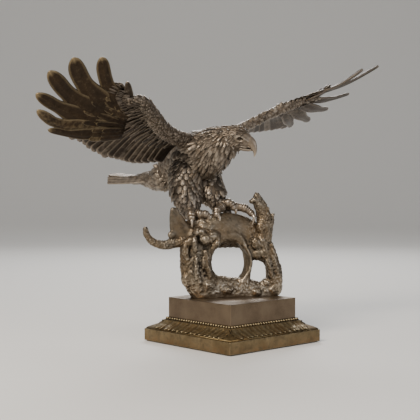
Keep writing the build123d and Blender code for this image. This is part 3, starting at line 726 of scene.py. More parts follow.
class Wing:
    """A wing as a surface: s runs from the body to the hand, c from the leading bones to the tips."""

    def __init__(self, arm, shares, tips, normal, camber):
        self.normal = unit(np.array(normal))
        self.camber = camber
        self.roots = [self.along(arm, share) for share in shares]
        self.tips = [np.array(tip, float) for tip in tips]
        self.count = len(tips) - 1

    @staticmethod
    def along(arm, share):
        index = min(int(share), len(arm) - 2)
        start, end = np.array(arm[index], float), np.array(arm[index + 1], float)
        return start + (end - start) * (share - index)

    def line(self, s):
        """The root and tip of the feather at station s."""
        index = min(int(s), self.count - 1)
        share = s - index
        first = self.roots[index] * (1 - share) + self.roots[index + 1] * share
        last = self.tips[index] * (1 - share) + self.tips[index + 1] * share
        return first, last

    def place(self, s, c, lift=0.0):
        """The point at station s and share c of the way to the tips, lifted off the surface in mm."""
        first, last = self.line(s)
        arch = self.camber * 4 * c * (1 - c)
        return first + (last - first) * c + self.normal * (arch + lift)


ARM_SHARES = (0.3, 0.8, 1.15, 1.4, 1.62, 1.82, 2.05, 2.2, 2.36, 2.52, 2.7, 2.86)
RIGHT_ARM = ((-16, 20, 86), (-60, 12, 98), (-106, -7, 124), (-127, -9, 127))
RIGHT_TIPS = (
    (-38, 52, 64), (-62, 58, 62), (-87, 58, 65), (-114, 55, 69), (-141, 47, 79), (-169, 39, 88),
    (-201, 30, 96), (-222, 17, 114.5), (-228, 7, 129), (-225, -13, 148), (-203, -23, 161), (-170, -27, 162),
)
LEFT_ARM = ((16, 20, 86), (60, 14, 105), (108, -6, 129), (148.5, -27, 143.5))
LEFT_TIPS = (
    (40.5, 53, 84), (60, 59, 92), (80, 60, 98), (100, 58, 101.5), (125, 52, 104.5), (150, 45, 108),
    (172, 38, 112), (192, 25, 119), (204, 4, 133), (214, -23, 151.5), (225.7, -60.6, 184), (193, -62.5, 177),
)
FIRST_PRIMARY = 6
# A helper script worked out these paths and RIGHT_HAND_NORMAL. These paths and
# RIGHT_HAND_NORMAL were computed, not chosen by hand.
RIGHT_PRIMARIES = (
    ((-112, 19, 91), (-152, 25, 92), (-174, 28, 92), (-188, 30, 94), (-200, 31, 95)),
    ((-113, 17, 94), (-167, 22, 99), (-195, 24, 102), (-208, 22, 107), (-220, 20, 113.5)),
    ((-115, 15, 97), (-172, 15, 109), (-202, 13, 118), (-215, 11, 123), (-228, 9, 128.5)),
    ((-116, 12, 100), (-169, 8, 117), (-195, 3, 130), (-211, -3, 140), (-224, -8, 149.5)),
    ((-118, 10, 104), (-157, 2, 122), (-179, -6, 137), (-195, -14, 151), (-204, -21, 163)),
    ((-120, 6, 109), (-137, -1, 122), (-155, -11, 138), (-167, -20, 152), (-175, -28, 165)),
)
RIGHT_THUMB = ((-121, -6, 124), (-130, -11, 133), (-137, -19, 145))
LEFT_THUMB = ((132, -21, 138), (146, -29, 146), (158, -36, 153))
LEFT_HAND_NORMAL = (-0.45, 0.40, 0.80)
RIGHT_HAND_NORMAL = (0.133, 0.780, 0.611)
RIGHT_WIDTHS = (16.0, 20.0, 24.0, 29.0, 31.0, 25.0)
LEFT_WIDTHS = (17.0, 17.0, 17.0, 17.0, 15.0, 13.0)
FINGER_SHARES = (0.34, 0.38, 0.34, 0.40, 0.42, 0.50)
PALM_ROWS = (0.10, 0.0)
COVERT_ROWS = (
    (0.24, 0.52, 9.0, 21, 0.8), (0.15, 0.36, 6.6, 26, 1.6), (0.09, 0.26, 5.6, 30, 2.5),
    (0.03, 0.17, 5.0, 34, 3.2), (-0.02, 0.10, 4.6, 36, 3.8),
)


def build_wing(name, node, arm, tips, normal, side, seed, primaries, widths, hand_normal, thumb,
               finish, quill, under, spacing):
    """One cast wing: flight feathers, covert rows on both faces, the boned leading edge and its scales."""
    draw = np.random.default_rng(seed)
    wing = Wing(arm, ARM_SHARES, tips, normal, 5.0)
    shell = Shell()
    lean, hand_lean = unit(np.array(normal)), unit(np.array(hand_normal))
    last = wing.count
    palm = []
    for index, width in enumerate(widths):
        if primaries:
            path = [np.array(point, float) for point in primaries[index]]
        else:
            first, tip = wing.line(FIRST_PRIMARY + index)
            path = [first, first * 0.5 + tip * 0.5 - lean * 2.5, tip]
        path[0] = path[0] + lean * 4.0
        path = [bird(*(point + hand_lean * 0.35 * index)) for point in path]
        vane(shell, path, hand_lean, (10.0, width), bow=0.0, thick=2.8, finger=FINGER_SHARES[index],
             lead=0.46,
             rows=40, pitch=1.7, side=side, tone=draw.uniform(-0.5, 0.5), root_wear=-0.3)
        line = curve_through([(*point, 0.0) for point in path], 12)[:, :3]
        for share in PALM_ROWS:
            for face in (-1, 1):
                for aside in (-0.27, 0.0, 0.27):
                    spot = line[int(share * (len(line) - 1))]
                    heading = line[int((share + 0.17) * (len(line) - 1))] - spot
                    across = unit(np.cross(heading, hand_lean)) * aside * width * MM
                    rise = face * hand_lean * (1.3 + 3.0 * (PALM_ROWS[0] - share)) * MM
                    palm.append((spot + across + rise * 0.3, spot + heading + across * 1.25 + rise, face))
    for start, stop, face in palm:
        vane(shell, (start, stop), face * hand_lean, (6.0, 8.0), bow=0.2, thick=0.9, lead=0.5, rows=7,
             pitch=1.1,
             side=side * face, tone=draw.uniform(-1, 1), root_wear=-0.2, blunt=0.62)
    quills = outward(shell.make(name + "_quills"))
    # The primaries and palm take a finish darkened as painted shade.
    quills.data.materials.append(quill)
    shell = Shell()
    for step in range(SECONDARIES):
        s = (FIRST_PRIMARY - 0.35) * step / (SECONDARIES - 1)
        first, tip = wing.line(s)
        tip = first + (tip - first) * draw.uniform(0.97, 1.01)
        turned = unit(lean + 0.10 * side * unit(np.cross(tip - first, lean)))
        path = [bird(*first), bird(*(first * 0.5 + tip * 0.5 + lean * 5.0)), bird(*tip)]
        vane(shell, path, turned, (8.0, 17.0), bow=0.0, thick=1.8,
             lead=0.4, rows=18, pitch=1.5, side=side, tone=draw.uniform(-0.8, 0.8), blunt=0.94)
    for near, far, width, count, lift in COVERT_ROWS:
        for face in (-1, 1):
            for step in range(count):
                s = last * (step + 0.5 + draw.uniform(-0.16, 0.16)) / count
                short = 1 - 0.55 * float(smoothstep(FIRST_PRIMARY - 2.2, FIRST_PRIMARY + 0.5, s))
                end = near + (far - near) * short * draw.uniform(0.92, 1.06)
                start = bird(*wing.place(s, near, face * (lift - 0.6)))
                stop = bird(*wing.place(s, end, face * (lift + 0.25)))
                turned = unit(face * lean + 0.34 * face * side * unit(np.cross(stop - start, lean)))
                vane(shell, (start, stop), turned, (width * 0.75, width), bow=0.5, thick=1.4, lead=0.5,
                     rows=8,
                     pitch=1.1, side=side * face, tone=draw.uniform(-1, 1), root_wear=-0.5, blunt=0.6)
    wrist = np.array(arm[2], float)
    vane(shell, [bird(*point) for point in thumb], hand_lean, (7, 10), bow=0.0, thick=2.8, rows=14, side=side,
         blunt=0.3)
    blades = outward(shell.make(name + "_blades"))
    bones = Shell()
    radii = (10.0, 8.5, 8.0, 3.8)
    stations = [(bird(*point), radius, radius * 0.58) for point, radius in zip(arm, radii)]
    tube(bones, stations, sides=24, steps=10, side=lean)
    ball(bones, bird(*(wrist + np.array((0, -1.5, 1)))), (8.5, 6.5, 5.5))
    skin = fused(name + "_arm", bones, 1.1, 3)
    mesh = skin.data
    spots = vertex_places(mesh)
    flow = np.tile(unit(np.array((side * 0.8, 0.6, 0.2))), (len(spots), 1))
    set_value(mesh, "flow", flow, "FLOAT_VECTOR")
    set_value(mesh, "size", np.tile(np.array((3.4, 5.4, 1.3)) * MM, (len(spots), 1)), "FLOAT_VECTOR")
    set_value(mesh, "cover", np.ones(len(spots)))
    set_value(mesh, "wear", np.full(len(spots), 0.0))
    arm_skin = feathered(skin, name + "_scales", "scale", spacing, 0.06, 0.16, seed, finish)
    # The secondaries, coverts and thumb take the under finish, darkened as painted shade.
    blades.data.materials.append(under)
    whole = joined(name, [quills, blades, arm_skin])
    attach(whole, BODY)
    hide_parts(node)
    return whole


SECONDARIES = 18


# --- Body --------------------------------------------------------------------------------------

TORSO_OVALS = (
    (0, 93, 46.5, 11, 8.5), (0, 74, 54, 15.8, 14.8), (0, 54, 64, 20.6, 22.2), (0, 32, 69, 24, 28.5),
    (0, 10, 74.5, 22, 27.5), (0, -9, 82, 16.5, 22), (0.3, -17, 86, 13.6, 18.5), (0.8, -24, 89, 11.4, 15),
)
NECK_OVALS = (
    (0.1, -12, 84.5, 15.4, 19.5), (0.5, -18, 86.5, 14.2, 18), (1.5, -27, 89.5, 12, 15.2),
    (3.0, -34, 91.5, 11.2, 13), (4.5, -39, 91.5, 10.8, 12),
)
HEAD_TURN = math.radians(27)
HEAD_CENTRE = bird(3.5, -37, 91.5)
FACE_AHEAD = np.array((math.sin(HEAD_TURN), -math.cos(HEAD_TURN), -0.06))
FACE_LEFT = np.array((math.cos(HEAD_TURN), math.sin(HEAD_TURN), 0.0))


def face(ahead, left, up):
    """A point of the head, in mm ahead of, left of and above its middle."""
    return HEAD_CENTRE + (ahead * FACE_AHEAD + left * FACE_LEFT + np.array((0, 0, up))) * MM


def build_torso(finish, spacing):
    """The body from rump to breast, under rows of round overlapping feathers."""
    shell = Shell()
    tube(shell, [(bird(x, y, z), w, h) for x, y, z, w, h in TORSO_OVALS], sides=48, steps=8)
    for side in (-1, 1):
        ball(shell, bird(side * 16, 18, 82), (9, 18, 9))
        ball(shell, bird(side * 14, 24, 50), (12, 19, 16))
    skin = fused("eagle_torso_skin", shell, 1.2, 8)
    mesh = skin.data
    spots, normals = vertex_places(mesh), vertex_normals(mesh)
    local = (spots - np.array(PERCH)) / MM
    front = smoothstep(20, -22, local[:, 1])
    flow = np.stack([
        local[:, 0] * 0.006, 1 - 0.45 * front, -0.38 - 0.85 * front - 0.25 * smoothstep(60, 30, local[:, 2]),
    ], 1)
    breast = smoothstep(20, -4, local[:, 1])[:, None]
    top = smoothstep(0.3, 0.9, normals[:, 2])[:, None]
    plain, long = np.array((7.4, 10.6, 2.5)), np.array((4.2, 13.5, 1.9))
    size = (plain * (1 - 0.12 * top) * (1 - breast) + long * breast) * MM
    set_value(mesh, "flow", flow, "FLOAT_VECTOR")
    set_value(mesh, "size", size, "FLOAT_VECTOR")
    set_value(mesh, "cover", np.ones(len(spots)))
    set_value(mesh, "wear", np.full(len(spots), -0.4))
    torso = feathered(skin, "eagle_torso", "scale", spacing, 0.06, 0.18, 21, finish)
    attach(torso, BODY)
    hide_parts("torso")


def build_head(finish, horn, spacing):
    """The neck and head: hackles, a smooth crown, hooded eyes and the hooked bill."""
    shell = Shell()
    tube(shell, [(bird(x, y, z), w, h) for x, y, z, w, h in NECK_OVALS], sides=40, steps=6)
    turn = np.array((FACE_AHEAD, FACE_LEFT, np.array((0, 0, 1.0))))
    ball(shell, face(-4.5, 0, -1.9), (15.5, 10.6, 13.4), turn, 18, 32)
    ball(shell, face(4.5, 0, -2.6), (13.0, 9.2, 10.9), turn, 18, 32)
    ball(shell, face(-1, 0, -7.5), (12.5, 8.0, 7.6), turn, 16, 28)
    for side in (-1, 1):
        tube(shell, [(face(-4, side * 8.2, 2.0), 1.2), (face(3, side * 8.9, 1.4), 2.0),
                     (face(9, side * 7.6, -1.2), 1.9), (face(14, side * 5.2, -4.2), 1.2)], 12, 6)
        ball(shell, face(2.5, side * 6.4, -7.5), (7, 2.8, 3.4), turn)
    skull = fused("eagle_head_skin", shell, 0.55, 5)
    mesh = skull.data
    spots = vertex_places(mesh)
    gap = spots - HEAD_CENTRE
    ahead, left, up = gap @ FACE_AHEAD / MM, gap @ FACE_LEFT / MM, gap[:, 2] / MM
    deep = np.zeros(len(spots))
    for side in (-1, 1):
        socket = np.hypot((ahead - 6.0) / 4.6, (up + 2.4) / 2.9) + 0.12 * np.abs(left - side * 8)
        deep -= 1.9 * smoothstep(1.25, 0.25, socket) * (left * side > 3)
    push(mesh, deep)
    bare = smoothstep(11.0, 13.0, ahead - 0.25 * (up - 2) + 0.3 * np.maximum(0, -up - 6)) + smoothstep(
        1.45, 1.0, np.hypot((ahead - 6.0) / 4.6, (up + 2.0) / 3.4)) * (np.abs(left) > 4)
    along = unit(np.array((-0.30, 0.9, -0.25)))
    down = smoothstep(6, -16, up)
    flow = np.stack([np.full(len(spots), along[0]), along[1] - 0.15 * down, along[2] - 0.75 * down], 1)
    neck = smoothstep(2, -16, ahead)[:, None]
    size = (np.array((1.7, 5.6, 1.1)) * (1 - neck) + np.array((3.0, 13.5, 1.7)) * neck) * MM
    set_value(mesh, "flow", flow, "FLOAT_VECTOR")
    set_value(mesh, "size", size, "FLOAT_VECTOR")
    set_value(mesh, "cover", (1 - np.clip(bare, 0, 1)) * (0.45 + 0.55 * (1 - neck[:, 0])))
    brow = smoothstep(3.2, 1.2, np.hypot((ahead - 4) / 3.2, up - 0.6)) * (np.abs(left) > 4)
    worn = curvature(mesh, 2) * 0.9 - 0.18 + 0.25 * np.clip(bare, 0, 1) + 0.5 * brow
    set_value(mesh, "wear", np.clip(worn + 0.7 * deep, -1, 1))
    plumed = feathered(skull, "eagle_head_plumes", "hackle", spacing, 0.035, 0.16, 5, finish)
    bill = Shell()
    tube(bill, [(face(8.0, 0, -3.8), 8.0, 6.6), (face(12.5, 0, -4.4), 7.6, 5.6),
                (face(16.4, 0, -6.6), 6.0, 4.4),
                (face(19.0, 0, -10.2), 4.2, 3.2), (face(20.5, 0, -14.4), 2.5, 2.0),
                (face(20.4, 0, -18.0), 1.4, 1.2),
                (face(19.9, 0, -20.6), 0.7, 0.6)], 28, 8, side=FACE_LEFT)
    tube(bill, [(face(4.0, 0, -12.0), 2.8, 5.0), (face(10.0, 0, -13.2), 2.2, 4.0),
                (face(14.5, 0, -13.6), 1.6, 2.6),
                (face(17.2, 0, -13.6), 1.0, 1.2)], 20, 6, side=FACE_LEFT)
    for side in (-1, 1):
        tube(bill, [(face(1.8, side * 6.2, -9.6), 0.9), (face(6.5, side * 6.0, -10.6), 1.25),
                    (face(11.0, side * 4.6, -11.0), 1.1), (face(15.5, side * 2.9, -10.6), 0.7)], 12, 5)
        ball(bill, face(10.2, side * 3.8, -3.4), (2.6, 1.9, 2.8), turn)
    beak = fused("eagle_bill", bill, 0.42, 2)
    spots = vertex_places(beak.data)
    gap = spots - HEAD_CENTRE
    ahead, left, up = gap @ FACE_AHEAD / MM, gap @ FACE_LEFT / MM, gap[:, 2] / MM
    nostril = np.hypot((ahead - 12.6) / 1.3, (up + 4.6) / 0.8)
    mouth = smoothstep(0.8, 0.25, np.abs(up + 11.9 + 0.05 * (ahead - 8))) * smoothstep(17, 14, ahead)
    push(beak.data, -0.9 * smoothstep(1.3, 0.5, nostril) - 0.8 * mouth)
    set_value(beak.data, "wear", np.clip(curvature(beak.data, 2) * 0.9 + 0.2 - 0.9 * mouth
                                         - 0.9 * smoothstep(1.4, 0.6, nostril), -1, 1))
    eyes = Shell()
    for side in (-1, 1):
        ball(eyes, face(5.8, side * 6.4, -2.3), (2.7, 2.3, 2.4), turn, 16, 28)
    eye_pair = eyes.make("eagle_eyes_pair")
    spots = vertex_places(eye_pair.data)
    gap = spots - HEAD_CENTRE
    pupil = np.hypot(gap @ FACE_AHEAD / MM - 6.3, gap[:, 2] / MM + 2.3)
    set_value(eye_pair.data, "wear", -0.25 - 0.6 * smoothstep(1.15, 0.7, pupil))
    for piece in (beak, eye_pair):
        piece.data.materials.clear()
        piece.data.materials.append(horn)
    head = joined("eagle_head", [plumed, outward(beak), outward(eye_pair)])
    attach(head, BODY)
    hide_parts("head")


LEGS = {
    "right_leg": ((-15, 28, 50, 18.5), (-18, 25, 36, 18.5), (-21, 19, 23, 16), (-21.5, 14, 13, 12.5),
                  (-21, 11, 8, 9)),
    "left_leg": ((10, 22, 50, 16), (11.5, 17, 38, 15), (10.5, 9, 27, 13.5), (11, 4, 20, 10.5),
                 (13, -0.5, 17.5, 6.5)),
}
RIGHT_FOOT = {
    "ankle": (-23, 11, 10),
    "toes": (
        (((-23, 9, 9), 5.2), ((-28, 6, 9), 5.0), ((-31.5, 1, 5), 4.4), ((-32.5, -1, 1.5), 3.6)),
        (((-22, 6, 8), 5.0), ((-20, 0, 5.5), 4.6), ((-14.5, -4, 5.2), 4.2), ((-11, -6.5, 1.8), 3.6)),
        (((-21, 10, 7), 4.6), ((-22, 17, 6), 4.0), ((-22, 21, 2.5), 3.4)),
    ),
    "talons": (
        ((-32.5, -1, 1.5), (-34.2, -3.5, -2.5), (-33.6, -3.4, -8.6)),
        ((-11, -6.5, 1.8), (-9.0, -8.2, -1.5), (-8.8, -7.6, -6.5)),
        ((-22, 21, 2.5), (-22.5, 24, -1.5), (-22, 23, -7)),
    ),
}
LEFT_FOOT = {
    "ankle": (13.4, -2, 17),
    "toes": (
        (((14, -5, 16), 5.0), ((16.5, -9, 17.5), 4.6), ((18.5, -12, 16), 4.0), ((19.8, -14, 12.5), 3.3)),
        (((16, -4, 15), 5.4), ((24, -13, 13), 4.8), ((31, -21, 11.5), 4.5), ((35.5, -27, 6), 3.6)),
        (((13, -4, 15), 5.2), ((7.5, -6.6, 12.5), 4.8), ((-1.5, -9, 9.0), 4.4), ((-3.8, -11.7, 4.5), 3.6)),
        (((14, 1, 14), 4.6), ((15, 8, 11), 4.0), ((15.5, 12, 7), 3.3)),
        (((17, -1, 17), 4.8), ((19, -2.5, 11), 4.8), ((20, -4, 5), 4.6), ((20.4, -5, 0), 4.2)),
    ),
    "talons": (
        ((19.8, -14, 12.5), (21.8, -16.2, 9), (21.5, -15.4, 4.0)),
        ((35.5, -27, 6), (34.0, -33.2, 1.5), (32.2, -32.6, -6.6)),
        ((-3.8, -11.7, 4.5), (-2.8, -15.4, 0.6), (-4.6, -14.0, -8.2)),
        ((15.5, 12, 7), (16, 15, 3), (15.8, 14.5, -3)),
    ),
}


def build_leg(node, finish, spacing, seed):
    """One feathered thigh and shank, down to the ankle."""
    shell = Shell()
    stations = [(bird(x, y, z), r) for x, y, z, r in LEGS[node]]
    tube(shell, stations, sides=32, steps=8, side=(0.3, 1, 0))
    skin = fused(node + "_skin", shell, 1.0, 4)
    mesh = skin.data
    spots = vertex_places(mesh)
    local = (spots - np.array(PERCH)) / MM
    low = smoothstep(34, 12, local[:, 2])[:, None]
    set_value(mesh, "flow", np.tile((0.05, 0.22, -1.0), (len(spots), 1)), "FLOAT_VECTOR")
    size = (np.array((6.2, 9.6, 2.4)) * (1 - low) + np.array((3.6, 6.6, 1.8)) * low) * MM
    set_value(mesh, "size", size, "FLOAT_VECTOR")
    set_value(mesh, "cover", 0.7 + 0.3 * low[:, 0])
    set_value(mesh, "wear", np.full(len(spots), -0.35))
    leg = feathered(skin, "eagle_" + node, "scale", spacing, 0.08, 0.24, seed, finish)
    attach(leg, BODY)
    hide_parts(node)


def build_foot(name, node, foot, finish):
    """One gripping foot: padded toes with cross scales, and curved talons."""
    shell = Shell()
    ball(shell, bird(*foot["ankle"]), (6.2, 6.2, 5.2))
    for toe in foot["toes"]:
        tube(shell, [(bird(*point), radius) for point, radius in toe], 18, 6)
        for point, radius in toe[1:]:
            ball(shell, bird(*point), (radius * 1.16,) * 3, None, 10, 16)
    for talon in foot["talons"]:
        stations = [(bird(*point), radius) for point, radius in zip(talon, (2.5, 1.9, 0.7))]
        tube(shell, stations, 16, 8)
    skin = fused(name, shell, 0.55, 2)
    mesh = skin.data
    spots = vertex_places(mesh)
    local = (spots - np.array(PERCH)) / MM
    scutes, far = np.zeros(len(spots)), np.full(len(spots), 1e3)
    for toe in foot["toes"]:
        path = curve_through([(*point, radius) for point, radius in toe], 8)
        gaps = np.linalg.norm(local[:, None, :] - path[None, :, :3], axis=2)
        runs = np.concatenate([[0], np.cumsum(np.linalg.norm(np.diff(path[:, :3], axis=0), axis=1))])
        near = gaps.min(1)
        wave = np.abs(np.sin(runs[gaps.argmin(1)] / 2.3 * math.pi))
        held = near < far
        scutes[held] = wave[held]
        far = np.minimum(far, near)
    nails = np.full(len(spots), 1e3)
    for talon in foot["talons"]:
        path = curve_through([(*point, 0) for point in talon], 8)[3:, :3]
        nails = np.minimum(nails, np.linalg.norm(local[:, None, :] - path[None], axis=2).min(1))
    scaly = smoothstep(2.2, 3.4, nails) * smoothstep(-0.2, 0.5, vertex_normals(mesh)[:, 2])
    push(mesh, scaly * (0.55 * np.sqrt(scutes) - 0.35))
    set_value(mesh, "wear", np.clip(
        curvature(mesh, 2) + 0.05 + 0.35 * (nails < 2.6) + scaly * (0.3 * scutes - 0.2), -1, 1))
    mesh.materials.clear()
    mesh.materials.append(finish)
    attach(skin, BODY)
    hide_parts(node)


TAIL_BLADES = (
    ((9, 164, 42), 1), ((5, 168, 45), 1), ((0, 172, 48), 1), ((-7, 173.5, 50.8), 1), ((-15, 173, 50), -1),
    ((-18, 171, 48), -1), ((-20.5, 168, 45.5), -1), ((-23.5, 165, 42.5), -1),
)
RUMP = ((0, 80, 49, 15.5, 16.5), (0, 96, 45, 13.5, 13), (-1, 113, 45, 12, 8.5), (-3, 131, 46, 11, 4.5))


def build_tail(finish, spacing):
    """The folded tail: blunt feathers stacked in a shallow roof, under a feathered rump."""
    shell = Shell()
    draw = np.random.default_rng(9)
    for index, (end, way) in enumerate(TAIL_BLADES):
        place = index / (len(TAIL_BLADES) - 1) * -2 + 1
        start = (place * 6, 96, 46.5 - 1.5 * place ** 2)
        bend = ((start[0] + end[0]) / 2 + 1.5 * place, (start[1] + end[1]) / 2, (start[2] + end[2]) / 2 - 0.6)
        lean = unit(np.array((place * 0.8, 0.05, 1)))
        vane(shell, [bird(*point) for point in (start, bend, end)], lean, (10, 13.0), bow=0, thick=2.6,
             lead=0.5,
             rows=26, pitch=1.6, side=way, tone=draw.uniform(-0.7, 0.7), blunt=0.93)
    blades = outward(shell.make("eagle_tail"))
    blades.data.materials.append(finish)
    core = Shell()
    tube(core, [(bird(x, y, z), wide, high) for x, y, z, wide, high in RUMP], 28, 8)
    stump = fused("eagle_rump", core, 1.2, 3)
    mesh = stump.data
    spots = vertex_places(mesh)
    set_value(mesh, "flow", np.tile((0.0, 1.0, -0.08), (len(spots), 1)), "FLOAT_VECTOR")
    back = (spots[:, 1] - PERCH.y) / MM
    late = smoothstep(95, 130, back)[:, None]
    set_value(mesh, "size", (np.array((6.0, 11.5, 2.6)) * (1 - late) + np.array((5.0, 16, 2.2)) * late) * MM,
              "FLOAT_VECTOR")
    set_value(mesh, "cover", 0.85 * smoothstep(125, 119, back) * (vertex_normals(mesh)[:, 1] < 0.5))
    set_value(mesh, "wear", np.full(len(spots), -0.3))
    rump = feathered(stump, "eagle_rump_coverts", "scale", spacing, 0.05, 0.14, 17, finish)
    tail = joined("eagle_tail", [blades, rump])
    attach(tail, BODY)
    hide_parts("tail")


# --- Root --------------------------------------------------------------------------------------

TRUNK_LIMBS = (
    (((-27, 2, 8), 19, 16), ((-37, 2, 24), 18.5, 15.5), ((-40, 3, 44), 17.5, 15.5), ((-40, 5, 71), 15, 13)),
    (((-46, 6, 74), 13, 9), ((-22, 7, 74), 19, 13.5), ((2, 8, 74.5), 20, 14.5), ((22, 7, 70), 18, 12.5),
     ((36, 3, 57), 15, 11)),
    (((38, 2, 60), 12, 13), ((49.5, 1, 40), 9, 11), ((53, 0, 22), 9.5, 12), ((51, 0, 8), 11, 12)),
    (((20, 3, 59), 9), ((31, 2, 52), 8.5), ((42, 1, 45), 8)),
    (((24, 3, 55), 9, 9), ((21.5, 1, 34), 4.6, 7), ((16, 0, 12), 7, 9)),
    (((-26, 0, 7), 19, 13), ((-8, 0, 7.5), 16, 11), ((12, 0, 5.5), 16, 10), ((34, 0, 2), 15, 9),
     ((50, 0, 5), 13, 9)),
    (((-46, 0, 70), 6.5, 5), ((-57, 0, 74), 6.5, 3.8), ((-65, 0, 86), 5, 3.2), ((-66, 0, 99), 3.2, 2.8)),
    (((-48, 0, 74), 7, 4.2), ((-55, 0, 80), 7.5, 3.6), ((-61, 0, 90), 5, 3.0), ((-65, 0, 99), 2.8, 2.4)),
    (((-45, 0, 71), 6, 4.5), ((-52, 0, 77), 4.6, 3.4), ((-59, 0, 88), 3.6, 2.8), ((-63, 0, 99), 3.0, 2.6)),
    (((-44, 0, 72), 6, 4.5), ((-48, 0, 76), 4, 3.2), ((-53, 0, 83), 3.4, 2.8), ((-58, 0, 92), 2.6, 2.2)),
    (((-48, 0, 67), 7, 5), ((-58, 0, 69), 6, 4), ((-65.5, 0, 76), 4, 3), ((-67, 0, 90), 3, 2.6)),
    (((-45, -13, 67), 3.0), ((-45.5, -15.5, 61), 3.6), ((-44, -14.5, 54), 3.0)),
    (((-53, -9, 62), 4.0), ((-54, -9, 54), 4.4), ((-52, -9, 46), 3.2)),
    (((-18, -13, 70), 2.6), ((-19, -14.5, 62), 3.2), ((-25, -14, 56), 3.0)),
    (((-32, -12, 52), 3.2), ((-31, -13.5, 38), 3.4), ((-27, -12, 24), 3.0)),
    (((-42, -12, 44), 3.0), ((-43, -13.5, 30), 3.4), ((-38, -12, 18), 3.0)),
    (((46, -8, 58), 3.2), ((50, -9.5, 40), 3.6), ((55, -9, 22), 3.2), ((57, -6, 12), 2.6)),
    (((40, -8, 52), 2.8), ((44, -10, 34), 3.4), ((48, -9, 16), 2.8)),
)
OPENING_CENTRE = (-1.0, 39.5)
OPENING_RADIUS = 20.8
OPENING_WALL = (9.0, 3.2, 9.5)
TRUNK_KNOBS = (
    ((-31, -12, 66), (9, 8, 7)), ((-38, -9, 74), (8, 7, 5.5)), ((-22, -10, 69), (9, 7, 7)),
    ((-47, -8, 64), (7, 6, 6)), ((-50, -3, 22), (8, 7, 10)), ((-27, -8, 14), (9, 8, 7)),
    ((-5, -7, 9), (9, 7, 5)), ((30, -6, 60), (8, 5, 7)), ((40, -6, 49), (7, 7, 9)), ((30, -5, 5), (8, 7, 5)),
    ((34, 0, 48), (11, 9, 8.5)), ((-66, 0, 71), (7.5, 4, 5)), ((44, -3, 15), (7, 7, 7)),
    ((-33, -13, 40), (5, 3.5, 9)),
)
CURL = (((-56, 0, 64), 7), ((-66, 0, 62), 6.4), ((-77, 0, 60), 5.2), ((-88, 0, 63), 4.4), ((-96, 0, 71), 3.8),
        ((-97.5, 0, 78), 3.2))
SNAG = (((38, 1, 56), 11), ((41, 0, 72), 9.5), ((41, 0, 86), 9), ((38.0, 0, 98), 8.0), ((33.5, 0, 107), 6.8),
        ((32, -1, 113), 4.8))
SPUR = (((36, 0, 105), 5.2), ((30, -2, 109), 4.2), ((24.5, -3, 108), 3.2))
SPLINTER = (((44, -3, 72), 4), ((47.5, -3, 84), 4), ((50.5, -2, 92), 2.4))
SNAG_KNOBS = (
    ((36, -5, 78), (6, 5, 8)), ((42, -4, 95), (5, 4, 8)), ((29, -3, 109), (5, 4, 3.6)),
)


def face_frame(spots):
    """Root-frame u, depth and height, in mm, of points in metres."""
    turned = Matrix.Rotation(-ROOT_TURN, 3, "Z")
    local = spots @ np.array(turned).T / MM
    return local[:, 0], local[:, 1] - ROOT_SETBACK, (spots[:, 2] - BLOCK_HIGH.z) / MM


def bark(mesh, weight, grain_way, depth):
    """Furrowed bark: ridged noise drawn out along the grain, with pits and splinters."""
    spots = vertex_places(mesh) / MM
    lengthwise = (spots * grain_way).sum(1)[:, None] * grain_way
    crosswise = spots - lengthwise
    drawn = crosswise / 6.6 + lengthwise / 18.0
    fine = crosswise / 2.0 + lengthwise / 3.8
    lumps = spots / 9.0
    amounts = np.zeros(len(spots))
    for index in range(len(spots)):
        lump = noise.fractal(Vector(lumps[index]), 0.8, 2.0, 3)
        bent = Vector(drawn[index]) + Vector((0.5, 0.5, 0.5)) * lump
        furrow = 1 - abs(noise.noise(bent)) * 3.2
        small = noise.fractal(Vector(fine[index]), 0.9, 2.0, 2)
        amounts[index] = 0.75 * lump - 0.55 * max(0.0, furrow) + 0.42 * small
    push(mesh, amounts * weight * depth)
    return amounts


def grain_along(spots, limbs):
    """For each point, the heading of the nearest limb."""
    best = np.full(len(spots), 1e9)
    headings = np.zeros((len(spots), 3))
    for limb in limbs:
        path = curve_through([(*root(*station[0]), station[1]) for station in limb], 8)[:, :3]
        ways = np.gradient(path, axis=0)
        ways /= np.linalg.norm(ways, axis=1)[:, None]
        gaps = np.linalg.norm(spots[:, None, :] - path[None], axis=2)
        near = gaps.argmin(1)
        closer = gaps.min(1) < best
        headings[closer] = ways[near[closer]]
        best = np.minimum(best, gaps.min(1))
    return headings


